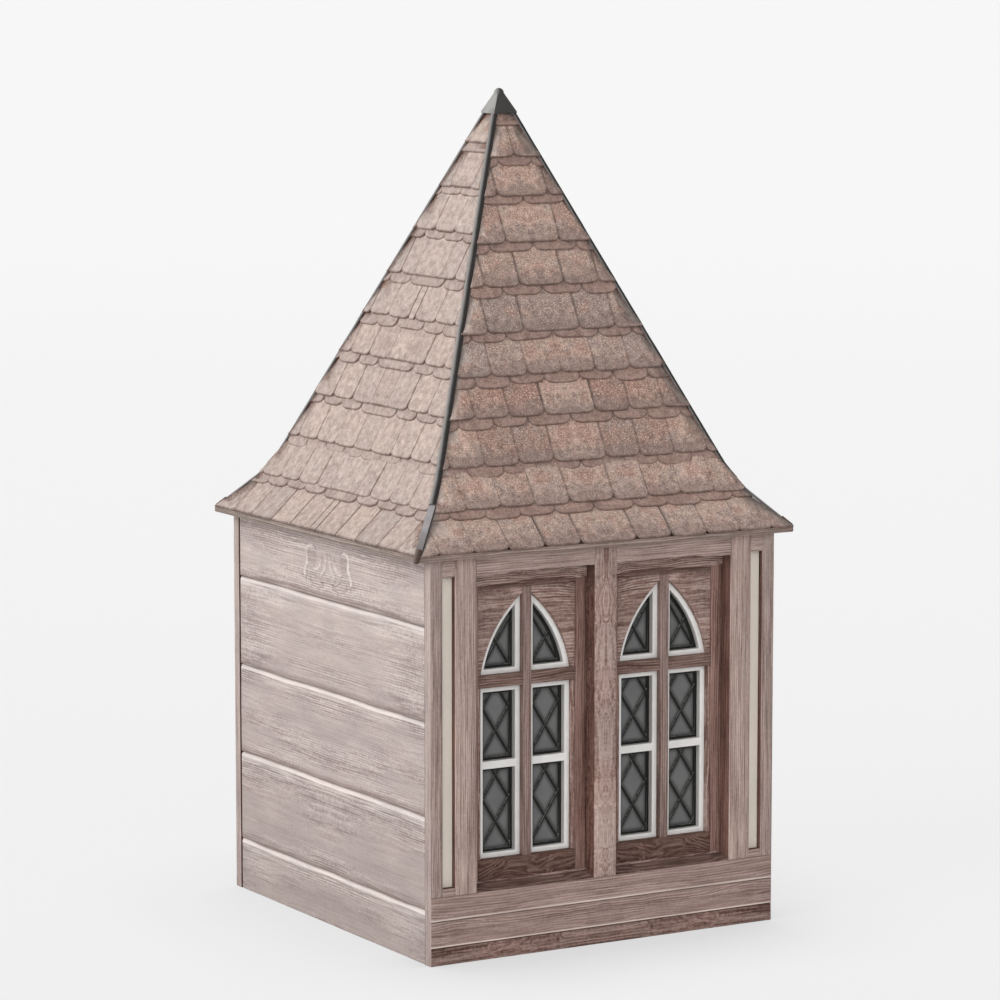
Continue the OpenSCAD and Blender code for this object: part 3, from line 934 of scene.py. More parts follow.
def dress_boards(side):
    """The worn boards of one side."""
    boards = from_node(side + "_boards", side + "_side_boards")
    edges = board_edges(boards)
    cut_rings(boards, "y", -side_len, side_len, 55 * mm)

    def is_outer(edge):
        return is_arris(edge) and abs((edge.verts[0].co.x + edge.verts[1].co.x) / 2) > half_w - mm

    def is_top_arris(edge):
        height = (edge.verts[0].co.z + edge.verts[1].co.z) / 2
        level = abs(edge.verts[0].co.y - edge.verts[1].co.y) > mm
        upward = any(face.normal.z > 0.9 for face in edge.link_faces)
        return level and upward and is_outer(edge) and height < wall_h - 10 * mm

    soften(boards, board_bevel, 3, is_top_arris)
    soften(boards, board_arris, 3, is_outer)
    cuts = [low + rise * mm for low, high in edges for rise in (12, 34, 90, 180, 260)]
    cuts += [high - board_bevel - drop * mm for low, high in edges for drop in (3, 24, 67)]
    cut_planes(boards, [((0, 0, height), (0, 0, 1)) for height in cuts])
    # The mark paints shade at the lower edge of each board and a highlight on its planed top.
    mark_corners(boards, "light_and_shade", lambda corner: light_and_shade_at(corner.co.z, edges))
    for sign, gap in zip((-1, 1), end_gaps):
        pick(boards, "VERT", lambda corner: sign * corner.co.y > side_len - board_arris - mm)
        bpy.ops.transform.translate(value=(0, -sign * gap, 0))
        done()
    sway_joints(boards, edges)
    wear(boards, 1.8 * mm, 0.07)
    smooth(boards)
    return finish_piece(boards, board_wood, "side_boards", side + "_boards")


for side in ("left", "right"):
    dressed = dress_boards(side)
    print(dressed.name, len(dressed.data.polygons), "faces")

# %% [markdown]
# ## Corner strips
# A thin strip covers the edge of the front and back frames from the ground to the eave, so that the side
# shows one clean upright at each corner. It is a block, cut across, softened and worn. A dark sliver along
# its inner edge is painted shade for the open joint beside the boards.

# %% Corner strips
strip_t = 3 * mm
strip_w = half_d - side_len
strip_inset = 1.0 * mm
gap_shade_w = 2 * mm
gap_shade_depth = 12 * mm


def make_strip():
    inner_y = -half_d + strip_w
    # The dark sliver stands for the shade in the open joint: it is painted shade.
    gap_shade = block(
        "gap_shade",
        (half_w - gap_shade_depth, inner_y - gap_shade_w / 4, 0),
        (half_w + strip_t / 3, inner_y + gap_shade_w * 3 / 4, wall_h),
    )
    gap_shade.data.materials.append(gap_shade_wood)
    strip = block(
        "corner_strip",
        (half_w - strip_t / 2, -half_d + strip_inset, 0),
        (half_w + strip_t / 2, inner_y, wall_h),
    )
    cut_rings(strip, "z", 0, wall_h, 60 * mm)
    soften(strip, 1.0 * mm)
    wear(strip, 1.2 * mm, 0.05)
    smooth(strip)
    strip.data.materials.append(strip_wood)
    return join([strip, gap_shade], "corner_strip")


strip = make_strip()
strips = [copy_piece(strip, "strip", placing) for placing in (MIRROR, BACK, BACK @ MIRROR)]
strips = finish_piece(join([strip] + strips, "corner_strips"), strip_wood, "side_boards")
print(strips.name, len(strips.data.polygons), "faces")

# %% [markdown]
# ## Framed front and back
# Posts, studs, rails and base boards are merged copies of their solids. Each is cut across along its
# length, its arrises are rounded and it is worn a little. The lowest base board is of burry wood. The heads
# of the windows sag: their lower edge wanders, and it hangs lower near the outer studs.

# %% Timbers of the two frames
sill_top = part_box("front_sill_rail")[1].z
burl_top = 66 * mm
timber_wear = 1.4 * mm
level = ("x", -half_w, half_w, 50 * mm)
upright = ("z", sill_top, wall_h, 50 * mm)
frame_timbers = (
    ("_base_boards", "_base", base_wood, 3.5 * mm, level),
    ("_sill_rail", "_rail", rail_wood, 3 * mm, level),
    ("_corner_posts", "_posts", corner_wood, 2.5 * mm, upright),
    ("_studs", "_window_studs", post_wood, 2.5 * mm, upright),
    ("_centre_post", "_middle_post", figured_wood, 2.5 * mm, upright),
)
for end in ENDS:
    for node, name, finish, arris, rings in frame_timbers:
        timber = dress(end + node, end + name, finish, "frame_wood", arris, timber_wear, rings)
        if node == "_base_boards":
            timber.data.materials.append(burl_wood)
            for face in timber.data.polygons:
                top = max(timber.data.vertices[number].co.z for number in face.vertices)
                face.material_index = int(top < burl_top)
print("frame timbers dressed")


# %% Window heads with a sagging edge
window_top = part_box("front_window_frames")[1].z
sag_deep = 10 * mm
sag_from = 0.38
sag_to = 0.48


def sag(x):
    """How far the lower edge of a window head hangs, at a distance from the middle of the belfry."""
    share = min(1, max(0, (x - sag_from) / (sag_to - sag_from)))
    ripple = 1.2 * math.sin(x * 46) + 0.8 * math.sin(x * 113)
    return share * share * (3 - 2 * share) * sag_deep + ripple * mm


def dress_short_rails(end):
    node = end + "_short_rails"
    rails = from_node(node, end + "_heads")
    cut_rings(rails, "x", -half_w, half_w, 30 * mm)
    for corner in rails.data.vertices:
        place = corner.co
        if abs(place.z - window_top) < mm and abs(place.y) > half_d - mm:
            place.z -= sag(abs(place.x))
    soften(rails, 3 * mm)
    wear(rails, timber_wear, 0.06)
    smooth(rails)
    return finish_piece(rails, beam_wood, "frame_wood", node)


for end in ENDS:
    print(dress_short_rails(end).name)

# %% [markdown]
# ## Window joinery
# The frames hold upright and level members in one node, so each loose solid is looked at on its own and
# gets the wood whose grain runs along it. A worn strip under the head covers the joint there, and a thin
# bead closes the joint at the top of the sloping sill. The arch panels are boards with the grain lying
# level.

# %% Window frames, panels and sills
sill_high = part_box("front_window_sills")[1]
frame_face = -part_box("front_window_frames")[0].y
window_out = sill_high.x
window_in = max(corner.co.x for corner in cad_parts["front_centre_post"].data.vertices)
transom_low = sill_top + 200 * mm
mullion_w = 40 * mm


def loose_solids(piece):
    """The faces of each loose solid of a piece, as lists of face numbers."""
    shape = bmesh.new()
    shape.from_mesh(piece.data)
    shape.faces.ensure_lookup_table()
    left = set(range(len(shape.faces)))
    solids = []
    while left:
        reached = [shape.faces[left.pop()]]
        for face in reached:
            for other in [other for edge in face.edges for other in edge.link_faces]:
                if other.index in left:
                    left.discard(other.index)
                    reached.append(other)
        solids.append([face.index for face in reached])
    shape.free()
    return solids


def dress_window_frames(end):
    node = end + "_window_frames"
    frames = from_node(node, end + "_window_joinery")
    cut_rings(frames, "z", sill_top, window_top, 60 * mm)
    cut_rings(frames, "x", -window_out, window_out, 60 * mm)
    soften(frames, 2.5 * mm)
    wear(frames, 1.0 * mm, 0.05)
    smooth(frames)
    finishes = (stile_wood, transom_wood, window_rail_wood, mullion_wood)
    for finish in finishes:
        frames.data.materials.append(finish)
    for solid in loose_solids(frames):
        corners = [frames.data.vertices[v].co for f in solid for v in frames.data.polygons[f].vertices]
        wide = max(c.x for c in corners) - min(c.x for c in corners)
        low = min(c.z for c in corners)
        tall = max(c.z for c in corners) - low
        finish = transom_wood if low > transom_low else window_rail_wood
        if tall > wide:
            finish = stile_wood if wide > mullion_w else mullion_wood
        for number in solid:
            frames.data.polygons[number].material_index = finishes.index(finish)
    return finish_piece(frames, stile_wood, "window_wood", node)


for end in ENDS:
    dress_window_frames(end)
    dress(end + "_window_panels", end + "_arch_panels", panel_wood, "window_wood", 1.2 * mm)
    dress(end + "_window_sills", end + "_sloping_sills", transom_wood, "window_wood", 1.5 * mm)
    dress(end + "_casings", end + "_white_casings", paint_finish, "casing_paint", 3.0 * mm)
print("window joinery dressed")


# %% Head strips and sill beads
strip_h = 49 * mm
strip_proud = 7 * mm
bead_h = 6 * mm
bead_proud = 3 * mm


def make_window_trim(end):
    pieces = []
    for sign in (-1, 1):
        inner, outer = sorted((sign * window_in, sign * window_out))
        head_low = (inner, -frame_face - strip_proud, window_top - strip_h)
        head = block("head", head_low, (outer, -frame_face, window_top))
        cut_rings(head, "x", inner, outer, 30 * mm)
        for corner in head.data.vertices:
            if corner.co.z < window_top - mm:
                x = abs(corner.co.x)
                corner.co.z += (5 * math.sin(x * 14 - 2) + 2 * math.sin(x * 47)) * mm
        bead_low = (inner, -frame_face - bead_proud, sill_high.z - mm)
        bead = block("bead", bead_low, (outer, -frame_face, sill_high.z + bead_h))
        cut_rings(bead, "x", inner, outer, 40 * mm)
        pieces += [head, bead]
    trim = join(pieces, end + "_window_trim")
    soften(trim, 1.5 * mm)
    wear(trim, 1.2 * mm, 0.04)
    smooth(trim)
    if end == "back":
        trim.data.transform(BACK)
    return finish_piece(trim, head_strip_wood, "window_wood")


for end in ENDS:
    print(make_window_trim(end).name)

# %% [markdown]
# ## Leaded lights
# Each half of a window has three panes. The outline of a pane is the opening in its casing, so it is read
# from the casing's solid. The glass is a thin slab of that outline, cut into small faces whose corners tell
# how far the next lead is, and the finish paints shade on the glass beside the lead. The lead is a border, a
# slab with a smaller one taken out of it, with a lattice of half-round bars. One half is made, and the rest
# are mirrored and turned copies.

# %% Outlines of the panes
window_mid = (window_in + window_out) / 2
glass_face = -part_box("front_glass")[0].y
pane_gap = 1.0 * mm


def reach_of(outline):
    """The left, right, low and high end of an outline."""
    xs, zs = zip(*outline)
    return min(xs), max(xs), min(zs), max(zs)


def sides_of(outline):
    """The sides of an outline, each as its two ends."""
    return [(Vector(start), Vector(end)) for start, end in zip(outline, outline[1:] + outline[:1])]


def read_openings():
    """The openings in the casings of the outer half of the right-hand window, each as a loop of (x, z)."""
    casing = from_node("front_casings", "outline")
    shape = bmesh.new()
    shape.from_mesh(casing.data)
    rest = [
        edge for edge in shape.edges
        if all(abs(corner.co.y + glass_face) < 0.1 * mm and corner.co.x > window_mid for corner in edge.verts)
        and any(abs(face.normal.y) < 0.1 for face in edge.link_faces)
    ]
    loops = []
    while rest:
        loop = list(rest.pop().verts)
        while loop[-1] != loop[0]:
            following = [edge for edge in loop[-1].link_edges if edge in rest]
            if not following:
                break
            rest.remove(following[0])
            loop.append(following[0].other_vert(loop[-1]))
        loops.append([(corner.co.x, corner.co.z) for corner in loop[:-1]])
    shape.free()
    bpy.data.objects.remove(casing)
    widths = [right - left for left, right, low, high in map(reach_of, loops)]
    inner = [loop for loop, width in zip(loops, widths) if width < max(widths) - 10 * mm]
    return sorted(inner, key=lambda loop: reach_of(loop)[2])


openings = read_openings()
print("panes in one half:", [len(loop) for loop in openings])

# %% Panes of glass
glass_depth = 4 * mm
came_w = 11 * mm
came_t = 6 * mm
lead_shade_reach = 24 * mm
lattice_half_w = 56 * mm
lattice_step = 175 * mm
crossings = [
    [z * mm for z in (313, 488, 663)],
    [z * mm for z in (657, 832, 1007)],
    [z * mm for z in (1163,)],
]


def trim_to_outline(piece, outline, inset):
    """Trims a piece along every side of an outline, drawn in by an inset."""
    middle = Vector([sum(values) / len(values) for values in zip(*outline)])
    planes = []
    for start, end in sides_of(outline):
        outward = Vector((end.y - start.y, start.x - end.x)).normalized()
        if outward.dot(middle - start) > 0:
            outward = -outward
        place = start - outward * inset
        planes.append(((place.x, 0, place.y), (outward.x, 0, outward.y)))
    cut_planes(piece, planes, clear_outer=True, use_fill=True)


def slab(name, outline, inset, front, back):
    """A thin slab with a pane's outline, drawn in by an inset: a block trimmed along the outline."""
    left, right, low, high = reach_of(outline)
    margin = 5 * mm
    made = block(name, (left - margin, front, low - margin), (right + margin, back, high + margin))
    trim_to_outline(made, outline, inset)
    return made


def lead_distance(x, z, crossing_list):
    """How far a place on a pane is from the nearest bar of the lattice."""
    rise = lattice_step / 2 / lattice_half_w
    return min(abs(z - c - sign * rise * x) / math.hypot(1, rise) for c in crossing_list for sign in (-1, 1))


def make_pane(outline, crossing_list):
    """A pane, marked 0 beside the lead, where shade is painted on the glass, and up to 1 in the clear middle
    of a quarry.
    """
    left, right, low, high = reach_of(outline)
    pane = slab("pane", outline, pane_gap / 2, -glass_face, -glass_face + glass_depth)
    cut_rings(pane, "x", left, right, 10 * mm)
    cut_rings(pane, "z", low, high, 12 * mm)

    def clearness(corner):
        place = Vector((corner.co.x, corner.co.z))
        near = lead_distance(place.x - (left + right) / 2, place.y, crossing_list)
        for start, end in sides_of(outline):
            along = (end - start).normalized()
            gap = place - start
            near = min(near, abs(along.x * gap.y - along.y * gap.x) - came_w / 2)
        return min(1, max(0, near / lead_shade_reach))

    mark_corners(pane, "clear", clearness)
    return pane


pane_half = [make_pane(outline, marks) for outline, marks in zip(openings, crossings)]
print("panes:", [len(pane.data.polygons) for pane in pane_half])


# %% Lead border and lattice
lead_w = 8.5 * mm
lead_t = 5 * mm
lead_reach = 1.12


def stands_off(edge, clear):
    """Whether an edge lies more than clear in front of the glass."""
    return max(corner.co.y for corner in edge.verts) < -glass_face - clear


def make_came(outline):
    """The border of a pane: its slab with a smaller slab taken out of the middle."""
    came = slab("came", outline, 0, -glass_face - came_t, -glass_face + mm)
    hole = slab("hole", outline, came_w, -glass_face - came_t - mm, -glass_face + 2 * mm)
    take(came)
    cut = came.modifiers.new("hole", "BOOLEAN")
    cut.object = hole
    cut.operation = "DIFFERENCE"
    bpy.ops.object.modifier_apply(modifier="hole")
    bpy.data.objects.remove(hole)
    soften(came, 1.6 * mm, 2, lambda edge: is_arris(edge) and stands_off(edge, 2 * mm))
    return came


def make_bar():
    half = lead_reach * math.hypot(lattice_half_w, lattice_step / 2)
    bar = block("bar", (-half, -glass_face - lead_t, -lead_w / 2), (half, -glass_face + mm, lead_w / 2))
    cut_rings(bar, "x", -half, half, 20 * mm)
    soften(bar, 2.2 * mm, 3, lambda edge: is_arris(edge) and stands_off(edge, mm))
    return bar


def make_lattice(outline, crossing_list, bar):
    """The bars of a pane, crossing at the given heights. One direction lies a little over the other."""
    left, right, low, high = reach_of(outline)
    slope = math.atan2(lattice_step / 2, lattice_half_w)
    pieces = []
    for crossing in crossing_list:
        for sign in (-1, 1):
            lift = Matrix.Translation(((left + right) / 2, 0.4 * sign * mm, crossing))
            made = copy_piece(bar, "bar", lift @ Matrix.Rotation(sign * slope, 4, "Y"))
            trim_to_outline(made, outline, came_w / 2)
            if made.data.vertices:
                pieces.append(made)
            else:
                bpy.data.objects.remove(made)
    return pieces


bar = make_bar()
lead_half = []
for outline, marks in zip(openings, crossings):
    lead_half.append(make_came(outline))
    lead_half += make_lattice(outline, marks, bar)
bpy.data.objects.remove(bar)
glass_half = join(pane_half, "glass_half")
lead_half = join(lead_half, "lead_half")
wear(lead_half, 1.0 * mm, 0.02)
smooth(lead_half, 50)
print("leading:", len(lead_half.data.polygons), "faces in one half")


# %% The other halves of the windows
def four_halves(half, name, finish, slot, *nodes):
    """Turns one half light into all four at one end, then copies the end."""
    inner = copy_piece(half, "inner", Matrix.Translation((2 * window_mid, 0, 0)) @ MIRROR)
    window = join([half, inner], name)
    front = join([window, copy_piece(window, "other", MIRROR)], "front_" + name)
    back = copy_piece(front, "back_" + name, BACK)
    for end, piece in zip(ENDS, (front, back)):
        finish_piece(piece, finish, slot, *(end + node for node in nodes))


four_halves(glass_half, "panes", glass_finish, "leaded_glass", "_glass")
four_halves(lead_half, "leading", leading_finish, "lead")
print("all lights leaded")

# %% [markdown]
# ## Curl relief
# A small carved relief stands on the top board of each side: five strokes, mirrored about the middle, that
# flare out from the top and curl at the foot, with a low boss on each side. A carver would leave them
# standing by sinking the ground. Each stroke is a curve with a round section, turned into a mesh, sunk most
# of the way into the board and worn, so that only its crest shows. The crest is painted light, as a
# highlight, the low flanks dark, as shade, and the bosses a little darker.

# %% Curl relief
stroke_r = 12 * mm
stroke_sink = 7.2 * mm
curl_foot = 1290 * mm
# Each stroke: its points, outwards from the middle and up from the foot in millimetres, and its stoutness.
strokes = [
    ([(9, 157), (13, 130), (16, 104), (28, 76), (48, 60), (60, 52), (48, 46)], 1.0),
    ([(46, 136), (53, 110), (64, 88), (84, 72), (106, 70), (118, 80), (108, 88)], 1.0),
    ([(92, 150), (124, 160), (158, 156), (168, 132), (158, 110), (168, 88), (186, 66), (190, 44), (174, 34)],
     1.1),
    ([(16, 34), (44, 24), (70, 32), (86, 46), (104, 44)], 0.8),
    ([(0, 14), (60, 8), (120, 12), (150, 24), (146, 42), (130, 38)], 0.8),
]
boss_place = Vector((126, 118)) * mm
boss_size = Vector((3, 37, 34)) * mm
crest_start = 2.1 * mm
crest_width = 1.2 * mm


def make_stroke(points, width):
    line = bpy.data.curves.new("stroke", "CURVE")
    line.dimensions = "3D"
    line.bevel_depth = stroke_r * width
    line.bevel_resolution = 3
    line.resolution_u = 5
    line.use_fill_caps = True
    spline = line.splines.new("NURBS")
    spline.points.add(len(points) - 1)
    spline.use_endpoint_u = True
    spline.order_u = 4
    for point, (along, up) in zip(spline.points, points):
        point.co = (-half_w + stroke_sink, -along * mm, curl_foot + up * mm, 1)
        point.radius = 1.0
    spline.points[0].radius = 0.6
    spline.points[-1].radius = 0.7
    made = bpy.data.objects.new("stroke", line)
    bpy.context.collection.objects.link(made)
    take(made)
    bpy.ops.object.convert(target="MESH")
    return bpy.context.object


def crest_light_and_shade(corner):
    """Painted highlight on the crest of a stroke, painted shade on its low flanks, and a little darker on the
    boss.
    """
    proud = -half_w - corner.co.x
    off_y = (abs(corner.co.y) - boss_place.x) / boss_size.y
    off_z = (corner.co.z - curl_foot - boss_place.y) / boss_size.z
    if math.hypot(off_y, off_z) < 1.15 and proud < boss_size.x + 0.5 * mm:
        return -0.45
    return max(-0.9, min(0.65, (proud - crest_start) / crest_width))


def make_relief():
    half = [make_stroke(points, width) for points, width in strokes]
    bpy.ops.object.select_all(action="DESELECT")
    bpy.ops.mesh.primitive_uv_sphere_add(
        segments=20,
        ring_count=12,
        radius=1,
        location=(-half_w + mm, -boss_place.x, curl_foot + boss_place.y),
        scale=boss_size,
    )
    half.append(settle(bpy.context.object))
    half = join(half, "relief_half")
    other = copy_piece(half, "other", Matrix.Diagonal((1, -1, 1, 1)))
    made = join([half, other], "left_relief")
    wear(made, 2.0 * mm, 0.02)
    smooth(made, 60)
    # The mark paints a highlight on the crest of each stroke and shade on its low flanks.
    mark_corners(made, "light_and_shade", crest_light_and_shade)
    return made


relief = make_relief()
for piece in (relief, copy_piece(relief, "right_relief", BACK)):
    finish_piece(piece, board_wood, "side_boards")
print("relief:", len(relief.data.polygons), "faces a side")

# %% [markdown]
# ## Roof boards
# Dark boards close the roof under the shingles. Their dark tone is painted shade for the gaps between the
# shingles. They are copies of the slopes' solids with the outer face moved in, which makes room for the
# shingles to lie where the frame has its surface. The eave boards keep their shape.

# %% Roof and eave boards
deck_drop = 15 * mm
upper_l = math.hypot(kick_half, tip_z - kick_z)
lower_l = math.hypot(eave_half - kick_half, kick_z - eave_z)


def roof_point(distance):
    """The distance from the axis and the height of a point on the roof's surface, which lies the given
    distance down the slope from the tip."""
    if distance <= upper_l:
        share = distance / upper_l
        return Vector((kick_half * share, tip_z - (tip_z - kick_z) * share))
    share = (distance - upper_l) / lower_l
    return Vector((kick_half + (eave_half - kick_half) * share, kick_z - (kick_z - eave_z) * share))


def roof_normal(distance):
    ahead = roof_point(distance + 1 * mm) - roof_point(distance)
    return Vector((-ahead.y, ahead.x)).normalized()


def make_deck(node):
    deck = from_node(node, node + "_deck")
    outward = Vector(roof_sides[node.split("_")[1]])
    pick(deck, "FACE", lambda face: face.normal.xy.dot(outward) > 0.4 and face.normal.z > 0.2)
    shape = bmesh.from_edit_mesh(deck.data)
    way = max((face for face in shape.faces if face.select), key=lambda face: face.calc_area()).normal.copy()
    bpy.ops.transform.translate(value=tuple(way * -deck_drop))
    done()
    return finish_piece(deck, deck_wood, "structure_wood", node)


roof_sides = {"front": (0, -1), "back": (0, 1), "left": (-1, 0), "right": (1, 0)}
decks = [make_deck(part + "_" + side) for part in ("slope", "flare") for side in roof_sides]
dress("eave_boards_side", "side_eaves", eave_side_wood, "eave_wood", 3 * mm)
dress("eave_boards_end", "end_eaves", eave_wood, "eave_wood", 3 * mm)
print("decks:", len(decks), "and the eave boards")

# %% [markdown]
# ## One shingle
# A shingle is a cleft board with a square head, a slightly bellied foot and rounded lower corners. It
# starts as a block. The two lower corners are bevelled wide, the foot is bellied, the head is thinned and
# the rim is rounded. An inset ring on the face carries an attribute for the painted shade along the edge.
# Every shingle of the roof is a copy of this one, drawn wider or narrower in its middle, so that the corners
# keep their round.

# %% Shingle
shingle_w = 150 * mm
shingle_l = 205 * mm
shingle_t = 8 * mm
foot_reach = 60 * mm
edge_shade_rim = 9 * mm
tone_names = ("red", "warm", "pale", "under")


def make_shingle(corner_round, belly):
    """A shingle, whose foot has corners of the given radius and hangs down in the middle by the belly."""
    half = shingle_w / 2
    made = block("shingle", (-half, 0, -shingle_t / 2), (half, shingle_l, shingle_t / 2))
    cut_planes(made, [((place * shingle_w, 0, 0), (1, 0, 0)) for place in (-0.25, 0.25)])

    def is_foot_corner(edge):
        return all(abs(corner.co.y) < mm and abs(abs(corner.co.x) - half) < mm for corner in edge.verts)

    def is_face_rim(edge):
        ends = [corner.co for corner in edge.verts]
        low = all(end.y < shingle_l - mm for end in ends)
        long = abs(ends[0].y - ends[1].y) > 50 * mm
        return is_arris(edge) and all(end.z > 0 for end in ends) and (low or long)

    soften(made, corner_round, 4, is_foot_corner)
    for corner in made.data.vertices:
        across = corner.co.x / half
        corner.co.y -= belly * (1 - across * across) * max(0, 1 - corner.co.y / foot_reach)
    pick(made, "VERT", lambda corner: corner.co.y > shingle_l - mm)
    bpy.ops.transform.resize(value=(1, 1, 0.25), center_override=(0, shingle_l, 0))
    done()
    soften(made, 2.0 * mm, 1, is_face_rim)
    pick(made, "FACE", lambda face: face.normal.z > 0.95)
    bpy.ops.mesh.inset(thickness=edge_shade_rim, use_even_offset=True)
    inner = {corner.index for corner in bmesh.from_edit_mesh(made.data).verts if corner.select}
    done()
    mark_corners(made, "edge", lambda corner: float(corner.index in inner))
    mark_corners(made, "foot", lambda corner: corner.co.y / shingle_l)
    for name in tone_names:
        made.data.attributes.new(name, "FLOAT", "POINT")
    smooth(made, 40)
    return made


shingle = make_shingle(22 * mm, 6 * mm)
eave_shingle = make_shingle(7 * mm, 1 * mm)
print("shingle:", len(shingle.data.polygons), "faces")

# %% [markdown]
# ## Courses of shingles
# Each course is a row of shingles whose feet stand on a line, and a second row under it whose joints lie
# between the joints of the first and whose feet show below it as a darker band. The courses are written
# down from the tip to the eave. Front and back have one pattern, left and right the other, and the lowest
# course of the sides has straighter feet. Every row is mirrored about the middle of its side, so only half
# is laid. Distances are measured down the slope from the tip.

# %% Courses and tones
# Each course: its foot and its joints from the middle outwards, in millimetres, and the tone of each
# shingle as (red, warm, pale).
front_courses = [
    (118, [0], []),
    (282, [0], [(0.5, 0.6, 0.5), (0.5, 0.6, 0.5)]),
    (443, [113], [(0.4, 1.0, 0.6), (0.5, 0.2, 0.3)]),
    (629, [120], [(0.6, 0.9, 0.6), (0.7, 0.1, 0.3)]),
    (802, [97, 253], [(0.5, 0.8, 0.5), (0.5, 0.4, 0.4), (0.8, 0.4, 0.6)]),
    (985, [122, 282], [(0.1, 0.3, 0.2), (0.1, 0.1, 0.2), (0.0, 0.6, 0.5)]),
    (1153, [0, 147, 306], [(0.2, 0.8, 0.5), (0.4, 0.3, 0.4), (0.0, 0.0, 0.3)]),
    (1315, [111, 265, 415], [(0.2, 1.0, 0.6), (0.7, 0.1, 0.1), (0.9, 0.4, 0.3), (0.9, 0.2, 0.2)]),
    (1499, [114, 265, 415], [(0.6, 0.9, 0.6), (0.6, 0.1, 0.1), (0.7, 0.1, 0.1), (0.6, 0.7, 0.5)]),
    (1669, [99, 247, 398, 538], [
        (0.1, 0.8, 0.5), (0.2, 0.4, 0.6), (0.6, 0.4, 0.5), (0.8, 0.6, 1.0), (0.5, 0.6, 0.5),
    ]),
    (1856, [121, 277, 433, 581, 724], [
        (0.3, 0.4, 0.6), (0.2, 0.3, 0.5), (0.2, 0.5, 0.6), (0.2, 0.6, 0.7), (0.4, 0.6, 1.0), (0.4, 0.6, 1.0),
    ]),
]
side_courses = [
    (229, [59], [(0.1, 1.0, 0.6), (0.2, 0.5, 0.5)]),
    (412, [66], [(0.7, 0.3, 0.3), (0.1, 0.0, 0.4)]),
    (595, [75, 222], [(0.2, 0.5, 0.5), (0.1, 0.4, 0.7), (0.1, 0.0, 0.4)]),
    (778, [45, 210], [(0.2, 0.5, 0.5), (0.3, 0.1, 0.3), (0.1, 0.2, 0.6)]),
    (954, [22, 183, 328], [(0.0, 0.4, 1.0), (0.2, 0.3, 0.6), (0.2, 0.6, 0.6), (0.0, 0.1, 0.4)]),
    (1119, [56, 218, 366], [(0.2, 0.8, 0.5), (0.6, 0.1, 0.2), (0.3, 0.9, 0.6), (0.6, 0.2, 0.5)]),
    (1305, [57, 213, 371], [(0.5, 0.3, 0.2), (0.3, 0.1, 0.2), (0.3, 0.9, 0.7), (0.3, 0.5, 0.4)]),
    (1485, [75, 213, 371, 520], [
        (0.3, 0.3, 0.5), (0.2, 0.6, 0.6), (0.2, 0.7, 0.6), (0.2, 0.8, 0.6), (0.2, 0.5, 0.5),
    ]),
    (1663, [42, 210, 360, 510], [
        (0.1, 0.4, 0.5), (0.2, 0.2, 0.4), (0.1, 0.3, 0.5), (0.1, 0.4, 0.4), (0.2, 0.5, 0.5),
    ]),
    (1856, [22, 183, 335, 510, 660], [
        (0.1, 0.2, 0.9), (0.3, 0.6, 0.5), (0.0, 1.0, 0.7), (0.2, 0.0, 0.1), (0.3, 0.4, 0.5), (0.2, 0.4, 0.5),
    ]),
]
usual_w = 148 * mm
lap = 30 * mm
head_sink = 15 * mm
joint_w = 2.2 * mm
hip_clear = 3 * mm
under_show = 40 * mm
under_lap = 70 * mm
under_lift = -6 * mm
under_sink = 13 * mm
first_head = 100 * mm
highest_head = 60 * mm
middle_from = 60 * mm
under_tone = (0.35, 0.2, 0.15, 1.0)
under_belly = 9 * mm
under_spread = 1.008
steady_w = 10 * mm
steady_l = 0.6 * shingle_l
tone_sway = 0.08
eave_wobble = 0.3
under_wobble = 2.6
most_turn = math.radians(0.7)
most_tip = math.radians(0.5)
most_slide = (3 * mm, 0.7 * mm)
print("courses:", len(front_courses), "and", len(side_courses))


# %% Laying one shingle and one side
chance = random.Random(7)


def lay(model, start, end, foot, head, lift, sink, tone, wobble):
    """A copy of a shingle between two joints, from its foot to its head, as distances down the slope. lift is
    the height of its foot over the roof's surface and sink the depth of its head. wobble is how crooked it
    may lie, as a share of the usual."""
    made = copy_piece(model, "shingle")
    wide = end - start - joint_w
    low = roof_point(foot) + roof_normal(foot) * lift
    high = roof_point(head) - roof_normal(head) * sink
    rise = high - low
    stretch_x = (wide - shingle_w) / 2
    stretch_y = rise.length - shingle_l
    for corner in made.data.vertices:
        if wide / shingle_w < 0.5:
            corner.co.x *= wide / shingle_w
        elif abs(corner.co.x) > steady_w:
            corner.co.x += math.copysign(stretch_x, corner.co.x)
        if corner.co.y > steady_l:
            corner.co.y += stretch_y
    up = Vector((0, -rise.x, rise.y)).normalized()
    across = Vector((1, 0, 0))
    outward = across.cross(up)
    middle = (start + end) / 2
    place = Matrix.Translation((middle, -low.x, low.y))
    axes = Matrix((across, up, outward)).transposed().to_4x4()
    turn = Matrix.Rotation(wobble * most_turn * chance.uniform(-1, 1), 4, "Z")
    tip = Matrix.Rotation(wobble * most_tip * chance.uniform(-1, 1), 4, "Y")
    slide = Matrix.Translation([0] + [wobble * most * chance.uniform(-1, 1) for most in most_slide])
    made.data.transform(place @ axes @ slide @ turn @ tip)
    for name, value in zip(tone_names, tone):
        data = made.data.attributes[name].data
        shade = min(1, max(0, value + chance.uniform(-tone_sway, tone_sway)))
        data.foreach_set("value", [shade] * len(data))
    return made


